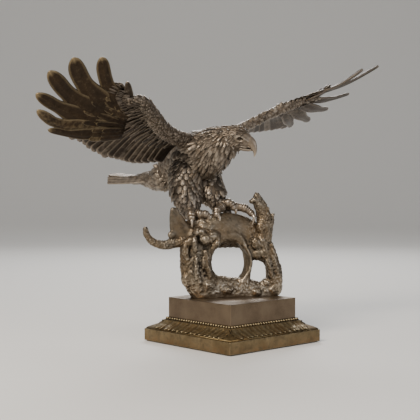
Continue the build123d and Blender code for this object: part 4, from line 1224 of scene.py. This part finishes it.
def build_trunk(finish, depth):
    """The root's trunk: craggy column, smooth branch over the opening, thin partition, fin and base."""
    shell = Shell()
    for limb in TRUNK_LIMBS:
        tube(shell, [(root(*station[0]), *station[1:]) for station in limb], 32, 7, side=root_face())
    for centre, sizes in TRUNK_KNOBS:
        ball(shell, root(*centre), sizes)
    turns = np.linspace(0, 2 * math.pi, 33)
    middle_u, middle_z = OPENING_CENTRE
    thick, thin, deep = OPENING_WALL
    ring = []
    for a in turns:
        half = thick + (thin - thick) * float(smoothstep(0.2, 0.85, math.cos(a)))
        reach = OPENING_RADIUS + half
        ring.append((root(middle_u + reach * math.cos(a), 1, middle_z + reach * math.sin(a)), half, deep))
    for part in (ring[:18], ring[16:]):
        tube(shell, part, 24, 2, side=root_face())
    trunk = fused("root_trunk_wood", shell, 0.85, 6)
    mesh = trunk.data
    u, w, z = face_frame(vertex_places(mesh))
    smooth_fin = smoothstep(-44, -49, u) * smoothstep(62, 68, z)
    sheet_zone = smoothstep(-24, -14, u) * smoothstep(26, 18, u) * smoothstep(58, 66, z)
    partition = smoothstep(12, 17, u) * smoothstep(29, 24, u) * smoothstep(14, 20, z) * smoothstep(60, 52, z)
    weight = np.clip(1 - 0.8 * smooth_fin - 0.72 * sheet_zone - 0.75 * partition, 0.12, 1)
    low = smoothstep(1.5, 7, z)
    amounts = bark(mesh, weight * (0.25 + 0.75 * low), grain_along(vertex_places(mesh), TRUNK_LIMBS[:6]),
                   depth)
    stripes = np.sin((u * 0.72 + z * 1.0 + 2.2 * np.sin(u / 9) + 1.1 * np.sin(z / 3.1)) * 2 * math.pi / 4.7)
    push(mesh, 0.11 * stripes * sheet_zone * (0.5 + 0.5 * np.sin(u / 6.3 + z / 4.1)))
    spots = vertex_places(mesh)
    spots[:, 2] = np.maximum(spots[:, 2], BLOCK_HIGH.z + 0.02 * MM)
    mesh.vertices.foreach_set("co", spots.ravel())
    mesh.update()
    # Lighter on the top of the upper branch, and lighter below about 30 mm as painted light on the root's
    # foot.
    rubbed = 0.25 * smoothstep(60, 72, z) * smoothstep(0, -40, u) * (1 - smooth_fin) + 0.3 * smoothstep(30,
            12, z)
    set_value(mesh, "wear", np.clip(curvature(mesh, 3) * 0.6 + 0.22 * amounts * weight + rubbed, -1, 1))
    # The tone is raised towards the foot as painted light and lowered on the smooth fin.
    set_value(mesh, "tone", 0.4 * smoothstep(30, 8, z) - 0.3 * smooth_fin - 0.1)
    mesh.materials.clear()
    mesh.materials.append(finish)
    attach(trunk, BODY)
    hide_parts("root_trunk")


def root_face():
    """The direction square to the root's face."""
    return (-math.sin(ROOT_TURN), math.cos(ROOT_TURN), 0.02)


def build_twig(name, node, limbs, knobs, finish, voxel, depth):
    """A side shoot of the root: a bent tapering limb with bark."""
    shell = Shell()
    for limb in limbs:
        tube(shell, [(root(*point), radius) for point, radius in limb], 24, 8, side=root_face())
    for centre, sizes in knobs:
        ball(shell, root(*centre), sizes)
    twig = fused(name, shell, voxel, 4)
    mesh = twig.data
    amounts = bark(mesh, np.ones(len(mesh.vertices)), grain_along(vertex_places(mesh), limbs), depth)
    set_value(mesh, "wear", np.clip(curvature(mesh, 3) * 0.6 + 0.22 * amounts, -1, 1))
    mesh.materials.clear()
    mesh.materials.append(finish)
    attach(twig, BODY)
    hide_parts(node)


# --- Plinth ------------------------------------------------------------------------------------

OGEE = ((68.5, 14.2), (68.5, 15.4), (66.9, 16.4), (64.6, 17.6), (62.0, 18.7), (59.4, 19.9), (57.0, 21.3),
        (55.3, 22.8), (54.4, 24.0), (54.2, 24.6), (46.0, 24.6), (46.0, 14.2))


def square_moulding(shell, profile):
    """A closed moulding of half size, height stations in mm, mitred round a square."""
    points, corners = [], ((1, 1), (-1, 1), (-1, -1), (1, -1))
    for a, b in corners:
        points += [(a * half * MM, b * half * MM, z * MM) for half, z in profile]
    count = len(profile)
    faces = []
    for corner in range(4):
        for k in range(count):
            here, there = corner * count, ((corner + 1) % 4) * count
            nxt = (k + 1) % count
            faces.append((here + k, here + nxt, there + nxt, there + k))
    shell.add(points, faces)


def ogee_at(share):
    """The point and outward normal of the leaf moulding's face, share 0 at its foot to 1 at its top."""
    face_line = np.array(OGEE[1:9])
    spot = share * (len(face_line) - 1)
    index = min(int(spot), len(face_line) - 2)
    place = face_line[index] + (face_line[index + 1] - face_line[index]) * (spot - index)
    way = unit(face_line[index + 1] - face_line[index])
    return place, np.array((way[1], -way[0])) * 1.0


def leaf(shell, centre, width, quarter, draw):
    """One chased acanthus leaf laid down the moulding from its top to its curled foot."""
    rows, across = 14, np.linspace(-1, 1, 9)
    sway = draw.uniform(-1.2, 1.2)
    points, wear = [], []
    for layer in (1, 0):
        for r in range(rows + 1):
            share = 1 - r / rows
            place, out = ogee_at(share)
            spread_here = width * (0.34 + 0.66 * math.sin(math.pi * min(1.0, 0.30 + 0.62 * r / rows)) ** 1.2)
            lobes = 1 + 0.13 * math.cos(r / rows * math.pi * 6.5)
            tip = max(0.0, (r / rows - 0.80) / 0.20)
            half = 0.5 * spread_here * lobes * math.sqrt(max(0.02, 1 - tip ** 2))
            for u in across:
                rise = 0.0
                if layer:
                    rise = (0.35 + 0.6 * (1 - u * u) + 0.35 * math.exp(-(u * 5) ** 2)) * (
                        0.6 + 0.4 * r / rows)
                    rise += 0.34 * math.cos((abs(u) * 2.4 + share * 3.0) * 2 * math.pi) * (1 - u * u)
                    rise += 0.6 * tip
                side = centre + sway * (1 - share) + u * half
                radial, z = place + out * (rise - 0.35 * (1 - layer))
                along = np.array((side, radial))
                turned = turn_quarter(along, quarter)
                points.append((turned[0] * MM, turned[1] * MM, max(z, 14.25) * MM))
                wear.append(
                    (0.5 * (1 - abs(u)) + 0.35 * tip + 0.2 * rise - 0.35) if layer and abs(u) < 1 else -0.8)
    count = len(across)
    size = (rows + 1) * count
    faces = []
    for r in range(rows):
        for k in range(count - 1):
            a = r * count + k
            faces.append((a, a + 1, a + count + 1, a + count))
            faces.append((size + a, size + a + count, size + a + count + 1, size + a + 1))
    for r in range(rows):
        for k in (0, count - 1):
            a = r * count + k
            faces.append((a, a + count, size + a + count, size + a))
    for k in range(count - 1):
        for a in (k, rows * count + k):
            faces.append((a, a + 1, size + a + 1, size + a))
    shell.add(points, faces, wear=wear)


def turn_quarter(place, quarter):
    """A plan point turned by quarter turns."""
    x, y = place
    for _ in range(quarter):
        x, y = -y, x
    return x, y


def build_leaf_moulding(finish, count):
    """The ogee moulding with acanthus leaves cast round it."""
    shell = Shell()
    square_moulding(shell, OGEE)
    draw = np.random.default_rng(31)
    for quarter in range(4):
        for step in range(count):
            centre = (step - (count - 1) / 2) * 115.2 / count
            leaf(shell, centre, 13.4, quarter, draw)
            if step < count - 1:
                leaf(shell, centre + 7.2, 6.4, quarter, draw)
    moulding = outward(shell.make("leaf_moulding_cast"))
    mesh = moulding.data
    mesh.polygons.foreach_set("use_smooth", [True] * len(mesh.polygons))
    mesh.materials.append(finish)
    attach(moulding, BODY)
    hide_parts("leaf_moulding")


BEAD_SIZE = 1.34


def beading_tree():
    """Geometry nodes that string beads along a closed path."""
    tree = bpy.data.node_groups.new("Beading", "GeometryNodeTree")
    face_ = tree.interface
    face_.new_socket("Path", in_out="INPUT", socket_type="NodeSocketGeometry")
    for label, kind, value in (("Pitch", "NodeSocketFloat", 0.0026), ("Bead", "NodeSocketFloat", 0.0013),
                               ("Finish", "NodeSocketMaterial", None)):
        socket = face_.new_socket(label, in_out="INPUT", socket_type=kind)
        if value is not None:
            socket.default_value = value
    face_.new_socket("Beads", in_out="OUTPUT", socket_type="NodeSocketGeometry")
    given = add_node(tree, "NodeGroupInput").outputs
    path = add_node(tree, "GeometryNodeMeshToCurve", inputs={"Mesh": given["Path"]})
    spots = add_node(tree, "GeometryNodeCurveToPoints", {"mode": "LENGTH"}, {
        "Curve": path.outputs["Curve"], "Length": given["Pitch"],
    })
    grain_ball = add_node(tree, "GeometryNodeMeshUVSphere", inputs={
        "Segments": 10, "Rings": 6, "Radius": given["Bead"],
    })
    vary = add_node(tree, "FunctionNodeRandomValue", {"data_type": "FLOAT"}, {
        "Min_001": 0.93, "Max_001": 1.05, "Seed": 3,
    })
    placed = add_node(tree, "GeometryNodeInstanceOnPoints", inputs={
        "Points": spots.outputs["Points"], "Instance": grain_ball.outputs["Mesh"],
        "Scale": vary.outputs[1],
    })
    solid = add_node(tree, "GeometryNodeRealizeInstances", inputs={"Geometry": placed.outputs["Instances"]})
    smooth = add_node(tree, "GeometryNodeSetShadeSmooth", inputs={"Geometry": solid.outputs["Geometry"]})
    done = add_node(tree, "GeometryNodeSetMaterial", inputs={
        "Geometry": smooth.outputs["Geometry"], "Material": given["Finish"],
    })
    add_node(tree, "NodeGroupOutput", inputs={"Beads": done.outputs["Geometry"]})
    return tree


def build_beads(finish, count):
    """The bead moulding: a row of cast beads in a shallow channel round the block's foot."""
    band = Shell()
    square_moulding(band, ((53.6, 24.6), (53.4, 25.2), (51.6, 25.5), (51.4, 27.0), (50.9, 27.5),
                           (50.55, 27.5),
                           (50.55, 24.6)))
    channel = outward(band.make("bead_channel"))
    channel.data.materials.append(finish)
    half = 52.35 * MM
    ring = bpy.data.meshes.new("bead_path")
    z = 26.1 * MM
    ring.from_pydata([(half, half, z), (-half, half, z), (-half, -half, z), (half, -half, z)],
                     [(0, 1), (1, 2), (2, 3), (3, 0)], [])
    path = bpy.data.objects.new("bead_path", ring)
    bpy.context.scene.collection.objects.link(path)
    layer = path.modifiers.new("Beading", "NODES")
    layer.node_group = beading_tree()
    values = {"Pitch": 2 * half / count, "Bead": BEAD_SIZE * MM, "Finish": finish}
    for item in layer.node_group.interface.items_tree:
        if item.item_type == "SOCKET" and item.name in values:
            layer[item.identifier] = values[item.name]
    beads = baked(path, "bead_row")
    spots = vertex_places(beads.data)
    outer = np.maximum(np.abs(spots[:, 0]), np.abs(spots[:, 1]))
    set_value(beads.data, "wear", np.clip((outer - half) / (BEAD_SIZE * MM) * 0.7 + (spots[:, 2] - z) * 300,
                                          -0.9, 0.9))
    channel_mesh = channel.data
    set_value(channel_mesh, "wear", np.full(len(channel_mesh.vertices), -0.5))
    row = joined("bead_moulding_cast", [channel, beads])
    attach(row, BODY)
    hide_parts("bead_moulding")


def build_felt(finish):
    """The felt glued under the slab: a soft-edged square, cut 136 x 136 mm."""
    half = (FELT_HIGH.x - FELT_LOW.x) / 2 / MM
    thick = (FELT_HIGH.z - FELT_LOW.z) / MM
    count = 68
    line = np.linspace(-half, half, count + 1)
    points, faces = [], []
    for level in (thick, 0.0):
        for y in line:
            for x in line:
                edge = half - max(abs(x), abs(y))
                soft = 0.22 * math.exp(-max(edge, 0) / 1.2)
                wavy = 0.05 * noise.noise(Vector((x / 5, y / 5, level))) * (level == 0)
                points.append((x * MM, y * MM, (level + (soft + abs(wavy) if level == 0 else -soft)) * MM))
    side = count + 1
    size = side * side
    for r in range(count):
        for k in range(count):
            a = r * side + k
            faces.append((a, a + 1, a + side + 1, a + side))
            faces.append((size + a, size + a + side, size + a + side + 1, size + a + 1))
    rim = ([(0, k) for k in range(side)] + [(r, count) for r in range(1, side)]
           + [(count, k) for k in range(count - 1, -1, -1)] + [(r, 0) for r in range(count - 1, 0, -1)])
    for (r1, k1), (r2, k2) in zip(rim, rim[1:] + rim[:1]):
        a, b = r1 * side + k1, r2 * side + k2
        faces.append((a, size + a, size + b, b))
    shell = Shell()
    shell.add(points, faces)
    felt = outward(shell.make("felt_sheet"))
    felt.data.materials.append(finish)
    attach(felt, BODY)
    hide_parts("felt_pad")


def paint_cad(nodes, finish):
    """Gives a finish to the CAD nodes that are shown as they are."""
    for node in nodes:
        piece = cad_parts[node]
        piece.data.materials.clear()
        piece.data.materials.append(finish)


# --- Studio ------------------------------------------------------------------------------------


def area_light(name, place, aim, size, power, colour):
    """A soft rectangular light, aimed at a point."""
    lamp = bpy.data.lights.new(name, "AREA")
    lamp.shape = "RECTANGLE"
    lamp.size, lamp.size_y = size
    lamp.energy = power
    lamp.color = linear(colour)[:3]
    light = bpy.data.objects.new(name, lamp)
    light.location = place
    light.rotation_euler = (Vector(aim) - Vector(place)).to_track_quat("-Z", "Y").to_euler()
    bpy.context.scene.collection.objects.link(light)
    return light


def build_stage(key_power, lens):
    """A plain pale sweep, three soft lights and the camera."""
    material, tree, shader = new_material("Paper, matt pale grey")
    shader.inputs["Base Color"].default_value = linear("#d9d8d5")
    shader.inputs["Roughness"].default_value = 0.75
    shell = Shell()
    sweep = [(-9.0, 0.0), (1.6, 0.0)]
    sweep += [(1.6 + 1.2 * math.sin(a), 1.2 - 1.2 * math.cos(a)) for a in np.linspace(0.1, math.pi / 2, 16)]
    sweep += [(2.8, 4.0)]
    heading = np.array((0.677, 0.735))
    aside = np.array((0.735, -0.677))
    points = [(*(heading * run + aside * wide), rise) for run, rise in sweep for wide in (-9.0, 9.0)]
    shell.add(points, [(2 * k, 2 * k + 1, 2 * k + 3, 2 * k + 2) for k in range(len(sweep) - 1)])
    floor = shell.make("studio_floor")
    floor.data.materials.append(material)
    world = bpy.data.worlds.new("Studio")
    bpy.context.scene.world = world
    world.use_nodes = True
    backing = world.node_tree.nodes["Background"]
    backing.inputs["Color"].default_value = linear("#dcdddf")
    backing.inputs["Strength"].default_value = 0.55
    middle = (0, 0, 0.17)
    lights = [
        area_light("key_light", (-1.15, -0.25, 1.25), middle, (0.7, 0.7), key_power, "#fff4e6"),
        area_light("fill_light", (0.25, -1.5, 0.55), middle, (1.0, 0.9), 5, "#eef3ff"),
        area_light("rim_light", (0.9, 0.9, 1.0), middle, (0.8, 0.5), 14, "#ffffff"),
    ]
    eye = bpy.data.cameras.new("front_camera")
    eye.sensor_width = 36
    eye.lens = lens
    camera = bpy.data.objects.new("front_camera", eye)
    camera.location = (-0.7774, -0.8082, 0.1826)
    camera.rotation_euler = Vector((0.6769, 0.7354, -0.0310)).to_track_quat("-Z", "Y").to_euler()
    bpy.context.scene.collection.objects.link(camera)
    bpy.context.scene.camera = camera


# --- Finishes ----------------------------------------------------------------------------------

# Each bronze finish: its material's name, then the colours of its hollows, plain and rubbed parts.
BRONZES = {
    "body": ("Bronze, chased and rubbed grey-brown", "#26211c", "#6b6156", "#b0a494",
             {"barbs": 0.07, "tint": "#716353"}),
    # The quill finish is golden-brown patina, darkened further as painted shade for the wing's shaded palm
    # and fingers.
    "quill": ("Bronze, chased golden brown, darkened as painted shade", "#17110c", "#413426", "#958363",
              {"barbs": 0.05, "tint": "#342b22"}),
    # The under finish is the body's bronze, darkened as painted shade on the wings' shaded undersides.
    "under": ("Bronze, chased, darkened as painted shade", "#15110e", "#42392f", "#978a7a",
              {"barbs": 0.06, "tint": "#3a3028"}),
    "wood": ("Bronze, rough cast root", "#1f1a16", "#6c6253", "#b0a390", {"cast": 0.12, "tint": "#6f5d46"}),
    "horn": ("Bronze, rubbed bare on beak and toes", "#251f19", "#75695b", "#b8ab9b",
             {"cast": 0.02, "tint": "#6d5d49"}),
    "gold": ("Bronze, chased moulding", "#221a10", "#6e5f42", "#b8a784", {"cast": 0.05, "tint": "#705a3a"}),
}


def finish_of(key):
    """The bronze finish of that key, made the first time it is asked for."""
    name, hollow, plain, rubbed, options = BRONZES[key]
    return bpy.data.materials.get(name) or bronze(name, hollow, plain, rubbed, **options)


# --- Settings ----------------------------------------------------------------------------------


class FeatherSettings(bpy.types.PropertyGroup):
    """How densely each part of the eagle is feathered."""

    body: bpy.props.FloatProperty(
        name="Body", description="Least distance between feathers on the body", default=0.0030,
        min=0.002, max=0.01, precision=4, unit="LENGTH")
    neck: bpy.props.FloatProperty(
        name="Head and neck", description="Least distance between hackles", default=0.0017,
        min=0.001, max=0.01, precision=4, unit="LENGTH")
    legs: bpy.props.FloatProperty(
        name="Legs", description="Least distance between feathers on the thighs", default=0.0031,
        min=0.002, max=0.01, precision=4, unit="LENGTH")
    arms: bpy.props.FloatProperty(
        name="Wing edges", description="Least distance between scales on the wings' leading edges",
        default=0.0023, min=0.001, max=0.01, precision=4, unit="LENGTH")
    rump: bpy.props.FloatProperty(
        name="Rump", description="Least distance between feathers on the rump", default=0.0031,
        min=0.002, max=0.01, precision=4, unit="LENGTH")


class CastingSettings(bpy.types.PropertyGroup):
    """Detail of the root and of the plinth's mouldings."""

    bark: bpy.props.FloatProperty(
        name="Bark depth", description="How far the bark's ridges stand off the trunk", default=0.00115,
        min=0.0, max=0.003, precision=5, unit="LENGTH")
    beads: bpy.props.IntProperty(
        name="Beads per side", description="Beads along one side of the block", default=26, min=8, max=60)
    leaves: bpy.props.IntProperty(
        name="Leaves per side", description="Broad leaves along one side of the moulding", default=8, min=3,
        max=16)


class StudioSettings(bpy.types.PropertyGroup):
    """Light and lens of the studio."""

    power: bpy.props.FloatProperty(
        name="Key light", description="Power of the main light", default=30.0, min=0.0, max=500.0,
        unit="POWER")
    lens: bpy.props.FloatProperty(
        name="Lens", description="Focal length of the camera in millimetres", default=85.7, min=20.0,
        max=300.0,
        unit="CAMERA")


class StatuetteSettings(bpy.types.PropertyGroup):
    """All settings of the statuette."""

    feathers: bpy.props.PointerProperty(type=FeatherSettings, name="Feathers", description="Feather spacing")
    castings: bpy.props.PointerProperty(type=CastingSettings, name="Castings",
                                        description="Root and mouldings")
    studio: bpy.props.PointerProperty(type=StudioSettings, name="Studio", description="Light and lens")


# --- Operators ---------------------------------------------------------------------------------


class STATUETTE_OT_torso(bpy.types.Operator):
    """Builds the feathered body"""

    bl_idname = "statuette.torso"
    bl_label = "Body"

    def execute(self, context):
        build_torso(finish_of("body"), context.scene.statuette.feathers.body / MM)
        return {"FINISHED"}


class STATUETTE_OT_head(bpy.types.Operator):
    """Builds the neck, head, eyes and bill"""

    bl_idname = "statuette.head"
    bl_label = "Head"

    def execute(self, context):
        build_head(finish_of("body"), finish_of("horn"), context.scene.statuette.feathers.neck / MM)
        return {"FINISHED"}


class STATUETTE_OT_legs(bpy.types.Operator):
    """Builds both feathered thighs"""

    bl_idname = "statuette.legs"
    bl_label = "Legs"

    def execute(self, context):
        for node, seed in (("right_leg", 4), ("left_leg", 6)):
            build_leg(node, finish_of("body"), context.scene.statuette.feathers.legs / MM, seed)
        return {"FINISHED"}


class STATUETTE_OT_feet(bpy.types.Operator):
    """Builds both gripping feet"""

    bl_idname = "statuette.feet"
    bl_label = "Feet"

    def execute(self, context):
        build_foot("right_foot_cast", "right_foot", RIGHT_FOOT, finish_of("horn"))
        build_foot("left_foot_cast", "left_foot", LEFT_FOOT, finish_of("horn"))
        return {"FINISHED"}


class STATUETTE_OT_wings(bpy.types.Operator):
    """Builds both raised wings"""

    bl_idname = "statuette.wings"
    bl_label = "Wings"

    def execute(self, context):
        spacing = context.scene.statuette.feathers.arms / MM
        build_wing("right_wing_cast", "right_wing", RIGHT_ARM, RIGHT_TIPS, (0.137, 0.619, 0.773), -1, 12,
                   RIGHT_PRIMARIES, RIGHT_WIDTHS, RIGHT_HAND_NORMAL, RIGHT_THUMB,
                   finish_of("body"), finish_of("quill"), finish_of("under"), spacing)
        # The far wing takes the under finish, darkened as painted shade, for its quills as well.
        build_wing("left_wing_cast", "left_wing", LEFT_ARM, LEFT_TIPS, (-0.335, 0.376, 0.864), 1, 13,
                   (), LEFT_WIDTHS, LEFT_HAND_NORMAL, LEFT_THUMB,
                   finish_of("body"), finish_of("under"), finish_of("under"), spacing)
        return {"FINISHED"}


class STATUETTE_OT_tail(bpy.types.Operator):
    """Builds the folded tail and its rump"""

    bl_idname = "statuette.tail"
    bl_label = "Tail"

    def execute(self, context):
        build_tail(finish_of("body"), context.scene.statuette.feathers.rump / MM)
        return {"FINISHED"}


class STATUETTE_OT_root(bpy.types.Operator):
    """Builds the pierced root with its curl and its snag"""

    bl_idname = "statuette.root"
    bl_label = "Root"

    def execute(self, context):
        wood = finish_of("wood")
        build_trunk(wood, context.scene.statuette.castings.bark / MM)
        build_twig("root_curl_wood", "root_curl", (CURL,), (), wood, 0.6, 1.0)
        build_twig("root_snag_wood", "root_snag", (SNAG, SPUR, SPLINTER), SNAG_KNOBS, wood, 0.7, 1.1)
        return {"FINISHED"}


class STATUETTE_OT_mouldings(bpy.types.Operator):
    """Builds the leaf moulding and the bead moulding"""

    bl_idname = "statuette.mouldings"
    bl_label = "Mouldings"

    def execute(self, context):
        castings = context.scene.statuette.castings
        build_leaf_moulding(finish_of("gold"), castings.leaves)
        build_beads(finish_of("gold"), castings.beads)
        return {"FINISHED"}


class STATUETTE_OT_plain(bpy.types.Operator):
    """Finishes the slab, the block and the steel fixings"""

    bl_idname = "statuette.plain"
    bl_label = "Slab, block and fixings"

    def execute(self, context):
        paint_cad(("plinth_slab",), slab_bronze())
        paint_cad(("plinth_block",), block_bronze())
        paint_cad(("tie_bar", "tie_washers", "tie_nuts", "tie_studs", "root_pins", "leg_studs", "hip_pins",
                   "grub_screws"), zinc_steel())
        return {"FINISHED"}


class STATUETTE_OT_felt(bpy.types.Operator):
    """Builds the felt under the slab"""

    bl_idname = "statuette.felt"
    bl_label = "Felt"

    def execute(self, context):
        build_felt(wool_felt())
        return {"FINISHED"}


class STATUETTE_OT_stage(bpy.types.Operator):
    """Builds the pale sweep, the lights and the camera"""

    bl_idname = "statuette.stage"
    bl_label = "Studio"

    def execute(self, context):
        studio = context.scene.statuette.studio
        build_stage(studio.power, studio.lens)
        return {"FINISHED"}


OPERATORS = (
    STATUETTE_OT_torso, STATUETTE_OT_head, STATUETTE_OT_legs, STATUETTE_OT_feet, STATUETTE_OT_wings,
    STATUETTE_OT_tail, STATUETTE_OT_root, STATUETTE_OT_mouldings, STATUETTE_OT_plain, STATUETTE_OT_felt,
    STATUETTE_OT_stage,
)


class STATUETTE_PT_sidebar(bpy.types.Panel):
    """The statuette's settings and buttons"""

    bl_idname = "STATUETTE_PT_sidebar"
    bl_label = "Bronze Eagle Statuette"
    bl_space_type = "VIEW_3D"
    bl_region_type = "UI"
    bl_category = "Statuette"

    def draw(self, context):
        settings = context.scene.statuette
        for title, group in (("Feathers", settings.feathers), ("Castings", settings.castings),
                             ("Studio", settings.studio)):
            column = self.layout.column(align=True)
            column.label(text=title)
            for key in group.__annotations__:
                column.prop(group, key)
        for operator in OPERATORS:
            self.layout.operator(operator.bl_idname)


CLASSES = (FeatherSettings, CastingSettings, StudioSettings, StatuetteSettings, *OPERATORS,
           STATUETTE_PT_sidebar)


def register():
    for kind in CLASSES:
        bpy.utils.register_class(kind)
    bpy.types.Scene.statuette = bpy.props.PointerProperty(
        type=StatuetteSettings, name="Statuette", description="Settings of the bronze statuette")


def unregister():
    del bpy.types.Scene.statuette
    for kind in reversed(CLASSES):
        bpy.utils.unregister_class(kind)


def main():
    """Builds every piece in order."""
    register()
    bpy.ops.statuette.torso()
    bpy.ops.statuette.head()
    bpy.ops.statuette.legs()
    bpy.ops.statuette.feet()
    bpy.ops.statuette.wings()
    bpy.ops.statuette.tail()
    bpy.ops.statuette.root()
    bpy.ops.statuette.mouldings()
    bpy.ops.statuette.plain()
    bpy.ops.statuette.felt()
    bpy.ops.statuette.stage()


if __name__ == "__main__":
    main()
